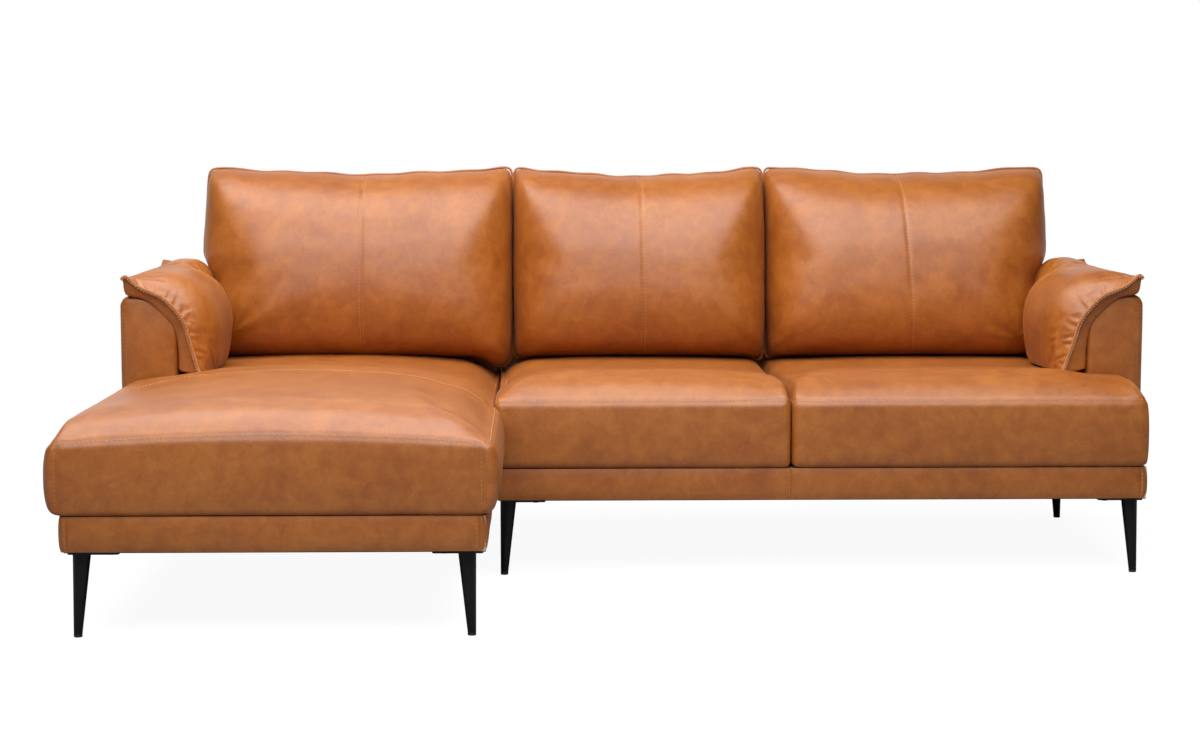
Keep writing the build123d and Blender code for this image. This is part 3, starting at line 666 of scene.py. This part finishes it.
middle_low, middle_high = (unit_joint, sofa_front, seat_foot), (split_left, seat_rear, 0.0)
middle_seat = seat_cushion(
    "middle_seat", middle_low, middle_high, sofa_seam, 0, 0.011, (flush, flush, 0.003), 0.009,
    ((0.080,), (0.026, 0.80)), 4)
right_low, right_high = (split_right, sofa_front, seat_foot), (sofa_right, seat_rear, 0.0)
right_bulge = (flush, lambda y: np.where(y < 0.07, 0.007, 0.0), 0.003)
right_seat = seat_cushion(
    "right_seat", right_low, right_high, sofa_seam, 1, 0.011, right_bulge, 0.012,
    ((0.026, 0.80), (0.024, 0.28)), 5)
middle_sides = (split_left, -1, 0.42), (unit_joint, 1, 0.42)
right_sides = (split_right, 1, 0.42), (sofa_right, -1, 0.06)
for piece, low, high, sides, node in (
    (middle_seat, middle_low, middle_high, middle_sides, "middle_seat_cover"),
    (right_seat, right_low, right_high, right_sides, "right_seat_cover"),
):
    tree, paths = seat_seams(piece, low, high, sofa_seam, sides)
    for path in paths:
        pressed(piece, path, seam_depth, seam_width)
    done(piece, leather, "sofa_frame", 180)
    tree = surface_of(piece)
    rows = [beside(tree, path, stitch_gap) for path in paths]
    sewn(piece.name + "_stitching", rows, "sofa_frame", **seat_stitch)
    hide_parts(node)

# Backs
# The cases of the two backs: leather over thin foam on the leaning frames, closed round the top
# and stapled to the rear rails. With the cushions in place only their rear faces show.


def back_case(name, low, high, seed):
    """A slab that leans back, rounded along its top."""
    thick, lean, top_round, half_way = 0.085, 0.0235, 0.028, 0.5
    piece = fresh_cube(name, (low.x, low.y, low.z), (high.x, low.y + thick, high.z))
    spots = points_of(piece)
    spots[:, 1] += lean * (spots[:, 2] > half_way)
    move_points(piece, spots)
    round_off(
        piece, lambda vs: all(v.z > half_way for v in vs) and abs(vs[0].x - vs[1].x) > 0.1, top_round, 6)
    finish_with(piece, "BEVEL", width=0.007, segments=3, limit_method="ANGLE")
    finish_with(piece, "REMESH", mode="VOXEL", voxel_size=0.0095)
    finish_with(piece, "SMOOTH", factor=0.5, iterations=3)
    spots, facing = points_of(piece), normals_of(piece)
    spots += facing * (0.0012 * smooth_noise(spots, 5.0, seed))[:, None]
    move_points(piece, spots)
    return piece


joint_puff, case_inset, case_seam = 0.0026, 0.012, 0.612
for name, seams in (("chaise", (-0.675,)), ("sofa", (0.130, 0.588))):
    node = name + "_back_cover"
    low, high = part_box(node)
    low.x, high.x = (low.x, high.x + joint_puff) if name == "chaise" else (low.x - joint_puff, high.x)
    piece = back_case(name + "_back_case", low, high, 6 + len(seams))
    tree = surface_of(piece)
    upright = np.linspace(0.252, 0.615, 40)
    paths = [drawn_on(tree, [(x, high.y, z) for z in upright], (0, -1, 0)) for x in seams]
    across = np.linspace(low.x + case_inset, high.x - case_inset, 80)
    paths.append(drawn_on(tree, [(x, high.y, case_seam) for x in across], (0, -1, 0)))
    for path in paths:
        pressed(piece, path, 0.0018, 0.0075)
    done(piece, leather, "sofa_frame", 180)
    tree = surface_of(piece)
    sewn(piece.name + "_stitching", [beside(tree, path, 0.004) for path in paths], "sofa_frame")
    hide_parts(node)

# Arms
# Slim upholstered arms on timber frames, bolted to the side rails. Their inner top corner is a large round,
# and stitched seams run down the outer edge of the front panel and round the outer side.
for side, sign, seed in (("left", -1, 8), ("right", 1, 9)):
    low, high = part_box(side + "_arm_cover")
    piece = fresh_cube(side + "_arm", low, high)
    inner, outer = (high.x, low.x) if sign < 0 else (low.x, high.x)
    for x, radius, segments in ((inner, 0.084, 12), (outer, 0.026, 6)):
        round_off(piece, lambda vs: all(v.z > 0.5 and abs(v.x - x) < 1e-3 for v in vs), radius, segments)
    finish_with(piece, "BEVEL", width=0.009, segments=4, limit_method="ANGLE", angle_limit=math.radians(40))
    finish_with(piece, "REMESH", mode="VOXEL", voxel_size=0.0065)
    finish_with(piece, "SMOOTH", factor=0.5, iterations=1)
    spots, facing = points_of(piece), normals_of(piece)
    u = (spots[:, 0] - (low.x + high.x) / 2) / ((high.x - low.x) / 2)
    front_puff, puff_middle, puff_half = 0.007, 0.51, 0.10
    v = (spots[:, 2] - puff_middle) / puff_half
    puff = front_puff * np.clip(-facing[:, 1], 0, 1) * np.clip(1 - u * u, 0, 1) * np.clip(1 - v * v, 0, 1)
    spots += facing * (puff + 0.0011 * smooth_noise(spots, 7.0, seed))[:, None]
    move_points(piece, spots)
    tree = surface_of(piece)
    front_seam, first, last = outer - sign * 0.010, low.y + 0.012, high.y - 0.012
    paths = [drawn_on(tree, [(front_seam, low.y, z) for z in np.linspace(0.255, 0.600, 60)], (0, 1, 0))]
    upright, level = np.linspace(0.250, 0.590, 40), np.linspace(first, last, 80)
    for line in (
        [(outer, first, z) for z in upright],
        [(outer, y, 0.588) for y in level],
        [(outer, last, z) for z in upright],
    ):
        paths.append(drawn_on(tree, line, (-sign, 0, 0)))
    for path in paths:
        pressed(piece, path, 0.0020, 0.0042)
    done(piece, leather, "sofa_frame", 180)
    tree = surface_of(piece)
    rows = [beside(tree, path, 0.0035 * sign) for path in paths]
    sewn(side + "_arm_stitching", rows, "sofa_frame", thick=0.00048)
    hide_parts(side + "_arm_cover")

# Back cushions
# Loose fibre-filled cushions in leather cases: a front panel of two halves with a double row of stitches,
# wrapped back to a raised welt that runs round the whole edge, and a plain rear panel.


def two_panels(name, across, along):
    """Two square panels laid together and joined round their edge; z tells the panels apart."""
    bpy.ops.object.select_all(action="DESELECT")
    bpy.ops.mesh.primitive_grid_add(x_subdivisions=across, y_subdivisions=along, size=2.0)
    piece = bpy.context.object
    piece.name = name
    bpy.ops.object.mode_set(mode="EDIT")
    bpy.ops.mesh.select_all(action="SELECT")
    bpy.ops.mesh.duplicate()
    bpy.ops.mesh.flip_normals()
    bpy.ops.object.mode_set(mode="OBJECT")
    spots = points_of(piece)
    inside = np.minimum(1 - np.abs(spots[:, 0]), 1 - np.abs(spots[:, 1]))
    spots[:, 2] = np.where(np.arange(len(spots)) < len(spots) // 2, inside, -inside)
    move_points(piece, spots)
    bpy.ops.object.mode_set(mode="EDIT")
    bpy.ops.mesh.select_all(action="SELECT")
    bpy.ops.mesh.remove_doubles(threshold=0.00001)
    bpy.ops.object.mode_set(mode="OBJECT")
    return piece


def outward(piece):
    """Turns every face of a closed piece outward."""
    bpy.context.view_layer.objects.active = piece
    bpy.ops.object.mode_set(mode="EDIT")
    bpy.ops.mesh.select_all(action="SELECT")
    bpy.ops.mesh.normals_make_consistent(inside=False)
    bpy.ops.object.mode_set(mode="OBJECT")


def piped(name, line, radius, body, closed=True):
    """A raised round welt of rolled leather along a line of points."""
    bpy.ops.object.select_all(action="DESELECT")
    bpy.ops.mesh.primitive_circle_add(vertices=len(line), fill_type="NOTHING")
    piece = bpy.context.object
    piece.name = name
    move_points(piece, np.array(line))
    if not closed:
        gap = (Vector(line[0]) - Vector(line[-1])).length
        pick(piece, "EDGE", lambda vs: (vs[0] - vs[1]).length > 0.9 * gap)
        bpy.ops.mesh.delete(type="EDGE")
        bpy.ops.object.mode_set(mode="OBJECT")
    bpy.ops.object.convert(target="CURVE")
    piece = bpy.context.object
    piece.data.bevel_depth = radius
    piece.data.bevel_resolution = 2
    piece.data.use_fill_caps = not closed
    bpy.ops.object.convert(target="MESH")
    piece = bpy.context.object
    outward(piece)
    done(piece, leather, body, 80)


def back_cushion(node, left, right, flare, seam_top, seam_foot, rise, sink, gathers, seed):
    """A cushion from two panels, swelled between its welt and its middle seam.

    It flares out above the arms, its upper edge sinks in the middle and may rise at the left, and gathers
    (x, z, depth) run in from its lower corners.
    """
    lean, welt_depth, front_puff, rear_puff = math.tan(math.radians(8)), 0.026, 0.192, 0.024
    low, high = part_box(node)
    foot, top, half, middle = low.z - 0.005, high.z - 0.001, (right - left) / 2, (right + left) / 2
    piece = two_panels(node + "_soft", 100, 70)
    u, v, w = points_of(piece).T
    up = (v + 1) / 2

    def welt_plane(z):
        """Depth of the leaning plane that the welt lies in."""
        return high.y - welt_depth - (high.z - z) * lean

    def outline(u, up):
        """Place of the case's edge seam, for shares across and up: the corners stand up as ears."""
        square = 30
        far = np.maximum(np.abs(u), np.abs(2 * up - 1)) + 1e-9
        rounded = np.abs(u / far) ** square + np.abs((2 * up - 1) / far) ** square + 1e-12
        rounded = rounded ** (-far ** 4 / square)
        u, up = u * rounded, ((2 * up - 1) * rounded + 1) / 2
        wide = eased((up - 0.40) / 0.16)
        x = middle + u * half + 0.0006 * np.abs(u) ** 8 * np.sin(13 * up + seed)
        low_out = np.where(u < 0, -flare[0][0], flare[1][0])
        high_out = np.where(u < 0, -flare[0][1], flare[1][1])
        out = low_out + (high_out - low_out) * np.clip((up - 0.62) / 0.38, 0, 1)
        x = x + wide * out * np.clip((np.abs(u) - 0.4) / 0.6, 0, 1) ** 2
        ripple = 0.0016 * np.sin(9.0 * u + seed) + 0.0012 * np.sin(21.0 * u + 2.3 * seed)
        hollow = sink * (1 - np.abs(u) ** 1.7) - rise * (u < 0) * u ** 2 - ripple
        z = foot + (top - foot) * up - hollow * up ** 7
        into_joints = 0.027 * near(x, -0.315, 0.038) + 0.014 * near(x, seat_split, 0.03)
        z = z - into_joints * (1 - up) ** 6
        return x, welt_plane(z), z

    # The front panel bulges between its edges, more bluntly at the foot than at the top
    x, y, z = outline(u, up)
    across = (1 - np.abs(u) ** 7) ** 0.44
    blunt = np.where(v > 0, 2.7, 3.8) + 4.5 * np.abs(u) ** 8
    tall = (1 - np.abs(v) ** blunt) ** np.where(v > 0, 0.52, 0.48)
    y = np.where(w > 0, y - front_puff * across * tall * (1 - 0.04 * v), y)
    y = np.where(w < 0, y + rear_puff * (1 - np.abs(u) ** 24) ** 0.5 * (1 - np.abs(v) ** 24) ** 0.5, y)
    move_points(piece, np.stack([x, y, z], axis=1))
    outward(piece)
    finish_with(piece, "REMESH", mode="VOXEL", voxel_size=0.0079)
    finish_with(piece, "SMOOTH", factor=0.5, iterations=2)

    def hold(spots, facing):
        """Sewn round the welt, resting at the rear and the foot, and slightly held along the middle seam."""
        x, y, z = spots.T
        share = (z - foot) / (top - foot)
        seam_x = seam_foot + (seam_top - seam_foot) * share
        plane = welt_plane(z)
        held = near(y, plane, 0.010) * (np.abs(facing[:, 1]) < 0.75)
        held = np.maximum(held, (y > plane + 0.012) | (z < foot + 0.008))
        on_seam = (facing[:, 1] < -0.3) * (share > 0.05) * (share < 0.97)
        return np.maximum(held, 0.08 * near(x, seam_x, 0.008) * on_seam)

    swelled(piece, hold, 3.5, 0.008, grid=0.013)
    swollen = points_of(piece)
    finish_with(piece, "SMOOTH", factor=0.5, iterations=16)
    loose = np.clip((welt_plane(swollen[:, 2]) - 0.006 - swollen[:, 1]) / 0.030, 0, 1)
    move_points(piece, swollen + (points_of(piece) - swollen) * loose[:, None])
    finish_with(piece, "SUBSURF", levels=1, render_levels=1)

    # Slow waves in the leather, and gathers that fan out from the lower corners
    spots, facing = points_of(piece), normals_of(piece)
    x, y, z = spots.T
    front = np.clip(-facing[:, 1], 0, 1)
    folds = 0.0011 * smooth_noise(spots, 6.0, seed)
    folds = folds + 0.0008 * smooth_noise(spots * np.array([0.6, 1.0, 1.5]), 15.0, seed + 20)
    for (gather_x, gather_z, deep), count in zip(gathers, (7.0, 8.0)):
        far = np.hypot(x - gather_x, z - gather_z) + 1e-6
        turn = np.arctan2(z - gather_z, np.abs(x - gather_x))
        wave = np.sin(turn * count + seed) * np.clip(np.sin(turn * 2), 0, 1)
        folds = folds + deep * wave * near(far, 0, 0.15) * (1 - np.exp(-far / 0.04)) * front
    move_points(piece, spots + facing * folds[:, None])

    ring = [(k, 1.0) for k in np.linspace(-1, 1, 130)]
    ring += [(1.0, k) for k in np.linspace(1, 0, 80)[1:]]
    ring += [(k, 0.0) for k in np.linspace(1, -1, 130)[1:]]
    ring += [(-1.0, k) for k in np.linspace(0, 1, 80)[1:-1]]
    welt = [tuple(float(part) for part in outline(np.float64(k), np.float64(h))) for k, h in ring]
    return piece, welt, low, high


for node, left, right, flare, seam_top, seam_foot, rise, sink, gathers, seed in (
    ("chaise_back_cushion", -1.034, -0.2842, ((0.027, 0.015), (0.0, 0.0)), -0.655, -0.652, 0.0, 0.019,
     ((-0.970, 0.500, 0.0065), (-0.2842, 0.435, 0.0026)), 11),
    ("middle_back_cushion", -0.2812, 0.3492, ((0.0, 0.0), (0.0, 0.0)), 0.036, 0.040, 0.0, 0.024,
     ((-0.2812, 0.435, 0.0026), (0.3492, 0.435, 0.0026)), 12),
    ("right_back_cushion", 0.3522, 1.0340, ((0.0, 0.0), (0.031, 0.028)), 0.682, 0.706, 0.003, 0.019,
     ((0.3522, 0.435, 0.0028), (0.970, 0.480, 0.0055)), 13),
):
    piece, welt, low, high = back_cushion(
        node, left, right, flare, seam_top, seam_foot, rise, sink, gathers, seed)
    tree = surface_of(piece)
    share = np.linspace(0.03, 0.985, 90)
    line = [(seam_foot + (seam_top - seam_foot) * k, low.y, low.z + (high.z - low.z) * k) for k in share]
    middle = drawn_on(tree, line, (0, 1, 0))
    pressed(piece, middle, 0.0026, 0.0040)
    done(piece, leather, node, 180)
    tree = surface_of(piece)
    rows = [beside(tree, middle, shift) for shift in (-0.004, 0.004)]
    sewn(node + "_stitching", rows, node, thick=0.00055)
    piped(node + "_welt", welt, 0.0028, node)
    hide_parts(node)

# Arm pillows
# Fibre-filled leather pillows sewn over the arms. They lie on the arm's top and hang down its inner side,
# with a double-stitched welt along the front edge that draws the leather into puckers.
pillow_rear, pillow_foot = 0.650, 0.434
arm_face, arm_outer, arm_over, arm_round = 1.040, 1.160, 0.618, 0.084
flat_run, drop_run = arm_outer - arm_face - arm_round, arm_over - arm_round - pillow_foot
arm_girth = flat_run + arm_round * math.pi / 2 + drop_run


def over_arm(share):
    """Place (x, z) and outward direction on the right arm, from its outer top edge to its inner foot."""
    run = share * arm_girth
    turn = np.clip((run - flat_run) / arm_round, 0, math.pi / 2)
    down = np.clip(run - flat_run - arm_round * math.pi / 2, 0, None)
    x = arm_outer - np.minimum(run, flat_run) - arm_round * np.sin(turn)
    z = arm_over - arm_round * (1 - np.cos(turn)) - down
    return x, z, -np.sin(turn), np.cos(turn)


def off_arm(share, height, depth, sign):
    """Points round one arm, at a height off it and at a depth."""
    x, z, away_x, away_z = over_arm(share)
    return np.stack([sign * (x + away_x * height), depth + 0 * x, z + away_z * height], axis=1)


def welt_height(share, tip):
    """How far the front seam stands off the arm, most at its two ends."""
    stand = 0.012 + 0.035 * near(share, 0.0, 0.115) + tip * np.clip((share - 0.42) / 0.58, 0, 1) ** 1.2
    return stand - 0.010 * np.clip(1 - share / 0.040, 0, 1) ** 2


def pillow_front(share):
    """Depth of the front seam, which bows forward at its two ends."""
    return 0.056 - 0.010 * np.abs(2 * share - 1) ** 3


def arm_pillow(name, sign, tip, puckers, seed):
    """A pillow from two panels over one arm, swelled between its seams.

    Its front seam stands off the arm by the tip at its foot, and puckers (place, slant, length, depth) run
    back from that seam.
    """
    piece = two_panels(name, 88, 96)
    u, v, w = points_of(piece).T
    share, t = (u + 1) / 2, (v + 1) / 2
    front = pillow_front(share)
    y = front + (pillow_rear - front) * (0.42 * t + 0.58 * t ** 2)
    ahead, behind = y - front, pillow_rear - y
    side, inner = share * arm_girth, (1 - share) * arm_girth
    # The upper panel stands on the filling, which the back cushion squeezes flat at the rear
    full = 0.040 + 0.042 * eased(share / 0.5)
    full = np.where(share > 0.5, 0.066 + 0.016 * np.abs(np.sin(math.pi * share)) ** 0.75, full)
    squeezed = eased((y - 0.38) / 0.14) * np.clip((share - 0.28) / 0.30, 0, 1)
    full = full * (1 - 0.90 * squeezed) + 0.010 * near(share, 0.24, 0.10) * near(y, 0.56, 0.08)
    seam_height = welt_height(share, tip)
    rise, fall = rolled(ahead, 0.12, steep=2.6), rolled(behind, 0.07, steep=2.4)
    rear_height = 0.052 * (1 - 0.85 * squeezed)
    upper = seam_height + (full - seam_height) * rise
    upper = rear_height + (upper - rear_height) * fall
    upper = upper + 0.006 * np.exp(-(side ** 2 + behind ** 2) / 0.026 ** 2)
    drawn = np.zeros_like(upper)
    for at, slant, long, deep in puckers:
        off = (share - at) * arm_girth + slant * ahead
        reach = near(ahead, 0, long) * (1 - np.exp(-ahead / 0.003))
        crease = 0.5 * near(np.abs(off), 0.0080, 0.0048) - near(off, 0.0, 0.0036)
        drawn = drawn + 0.95 * deep * reach * crease
    # The lower panel lies on the arm, sags a little over its front and closes to the seams
    edge = near(ahead, 0, 0.010)
    under = 0.046 * near(side, 0, 0.006) + full * near(inner, 0, 0.007)
    sag = 0.022 * near(share, 0.38, 0.24) * near(ahead, 0.019, 0.015) * (1 - np.exp(-side / 0.02))
    under = edge * seam_height + (1 - edge) * (under - sag + 0.0012)
    last = near(behind, 0, 0.014)
    under = last * rear_height + (1 - last) * under
    height = np.where(w < 0, np.minimum(under, upper), upper + drawn * (w > 0))
    x, z, away_x, away_z = over_arm(share)
    x = x + 0.011 * near(side, 0, 0.012) * np.clip(1 - height / 0.045, 0, 1)
    spots = np.stack([sign * (x + away_x * height), y, z + away_z * height], axis=1)
    move_points(piece, spots)
    outward(piece)
    from_seam = np.minimum(np.minimum(ahead, behind), np.minimum(side, inner))
    held = np.where(w <= 0, 1.0, np.exp(-from_seam / 0.006))
    swelled(piece, lambda spots, facing: held, 4.0, 0.007, slack=0.02)
    finish_with(piece, "SUBSURF", levels=1, render_levels=1)
    spots, facing = points_of(piece), normals_of(piece)
    move_points(piece, spots + facing * (0.0012 * smooth_noise(spots, 9.0, seed))[:, None])
    return piece


for side, sign, tip, seed, puckers in (
    ("left", -1, 0.043, 15, (
        (0.15, 0.5, 0.022, 0.0016), (0.21, 0.3, 0.030, 0.0022), (0.28, 0.6, 0.020, 0.0018),
        (0.35, 0.2, 0.034, 0.0024), (0.42, 0.5, 0.024, 0.0020), (0.49, 0.1, 0.036, 0.0026),
        (0.55, 0.4, 0.022, 0.0020), (0.62, -0.1, 0.032, 0.0024), (0.69, 0.3, 0.020, 0.0018),
        (0.77, -0.3, 0.034, 0.0024), (0.86, 0.2, 0.026, 0.0020), (0.94, -0.4, 0.030, 0.0022))),
    ("right", 1, 0.051, 16, (
        (0.13, 0.4, 0.020, 0.0016), (0.20, 0.6, 0.030, 0.0020), (0.27, 0.2, 0.024, 0.0020),
        (0.33, 0.5, 0.036, 0.0026), (0.40, 0.1, 0.022, 0.0018), (0.47, 0.4, 0.034, 0.0026),
        (0.54, -0.1, 0.026, 0.0020), (0.60, 0.3, 0.038, 0.0028), (0.67, -0.2, 0.024, 0.0020),
        (0.74, 0.1, 0.036, 0.0026), (0.83, -0.3, 0.026, 0.0022), (0.92, 0.2, 0.032, 0.0024))),
):
    node = side + "_arm_pillow"
    piece = arm_pillow(node + "_soft", sign, tip, puckers, seed)
    share = np.linspace(0.0, 1.0, 140)
    tree = surface_of(piece)
    outside, band_depth = 0.09, 0.335
    band = off_arm(share, outside, band_depth, sign)
    pressed(piece, [tree.find_nearest(Vector(spot))[:2] for spot in band[25:126]], 0.0012, 0.0035)
    done(piece, leather, "sofa_frame", 180)
    height, front = welt_height(share, tip), pillow_front(share)
    piped(node + "_welt", off_arm(share, height, front, sign), 0.0044, "sofa_frame", closed=False)
    rows, thread_lift = [], 0.0032
    for lift in (height + thread_lift, height - thread_lift):
        row = off_arm(share, lift, front - thread_lift, sign)
        rows.append([(Vector(spot), Vector((0, -1, 0))) for spot in row])
    sewn(node + "_stitching", rows, "sofa_frame", long=0.0050, gap=0.0002, thick=0.0012)
    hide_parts(node)

# Studio
# A plain pale floor that keeps a faint shadow, under a white background. A soft light above and one in
# front, and the camera at the photograph's viewing angle.
bpy.ops.object.select_all(action="DESELECT")
bpy.ops.mesh.primitive_plane_add(size=24.0, location=(0, 0, -0.0005))
floor = bpy.context.object
floor.name = "studio_floor"
bpy.ops.object.transform_apply(location=True, rotation=True, scale=True)
floor_paint = bpy.data.materials.new("studio_floor_paint")
floor_paint.use_nodes = True
floor_paint.node_tree.nodes.clear()
paint = Shade(floor_paint.node_tree)
place = paint.node("TexCoord", out="Object")
reach = paint.node("VectorMath", {"operation": "LENGTH"}, {0: place}, out="Value")
distant, mirrored = reach.spread(1.2, 3.2, "SMOOTHSTEP"), reach.spread(2.4, 4.6, "SMOOTHSTEP")
shown = paint.ray("Camera").either(paint.ray("Glossy") * mirrored).either(paint.ray("Transmission"))
plain = paint.node("BsdfDiffuse", None, {"Color": (0.30, 0.30, 0.30, 1)})
lit = paint.node("AddShader", None, {
    0: paint.node("BsdfDiffuse", None, {"Color": (0.15, 0.15, 0.15, 1)}),
    1: paint.node("Emission", None, {"Color": (1, 1, 1, 1), "Strength": 0.94})})
white = paint.node("Emission", None, {"Color": (1, 1, 1, 1), "Strength": 1.0})
lit = paint.node("MixShader", None, {0: distant, 1: lit, 2: white})
mixed = paint.node("MixShader", None, {0: shown, 1: plain, 2: lit})
paint.node("OutputMaterial", None, {"Surface": mixed})
floor.data.materials.append(floor_paint)

world = bpy.data.worlds.new("studio_world")
bpy.context.scene.world = world
world.use_nodes = True
world.node_tree.nodes.clear()
sky = Shade(world.node_tree)
place = sky.node("TexCoord", out="Generated")
behind = sky.node("SeparateXYZ", None, {"Vector": place}, out="Y").spread(0.60, 0.95, "LINEAR")
shown = sky.ray("Camera").either(sky.ray("Glossy") * behind).either(sky.ray("Transmission"))
fill = sky.node("Background", None, {"Color": (1.0, 0.99, 0.975, 1), "Strength": 0.06})
white = sky.node("Background", None, {"Color": (1, 1, 1, 1), "Strength": 1.0})
mixed = sky.node("MixShader", None, {0: shown, 1: fill, 2: white})
sky.node("OutputWorld", None, {"Surface": mixed})


def softbox(name, place, aim, size, power):
    data = bpy.data.lights.new(name, "AREA")
    data.shape, data.size, data.size_y, data.energy = "RECTANGLE", size[0], size[1], power
    lamp = bpy.data.objects.new(name, data)
    bpy.context.scene.collection.objects.link(lamp)
    lamp.location = place
    lamp.rotation_euler = (Vector(aim) - Vector(place)).to_track_quat("-Z", "Y").to_euler()
    lamp.visible_camera = False


softbox("overhead_softbox", (-0.4, -0.2, 3.0), (-0.3, 0.0, 0.3), (4.6, 2.0), 118.0)
softbox("high_front_softbox", (-0.5, -2.8, 2.8), (-0.2, 0.1, 0.5), (4.2, 1.8), 113.0)

camera_data = bpy.data.cameras.new("photo_camera")
camera_data.lens, camera_data.sensor_width, camera_data.sensor_fit = 72.96, 36.0, "HORIZONTAL"
camera = bpy.data.objects.new("photo_camera", camera_data)
bpy.context.scene.collection.objects.link(camera)
camera.location = (-0.2124, -5.466, 0.9573)
tilt, turn = 0.0946, -0.0242
camera.rotation_euler = (math.pi / 2 - tilt, 0.0, turn)
bpy.context.scene.camera = camera
bpy.context.scene.view_settings.view_transform = "Standard"
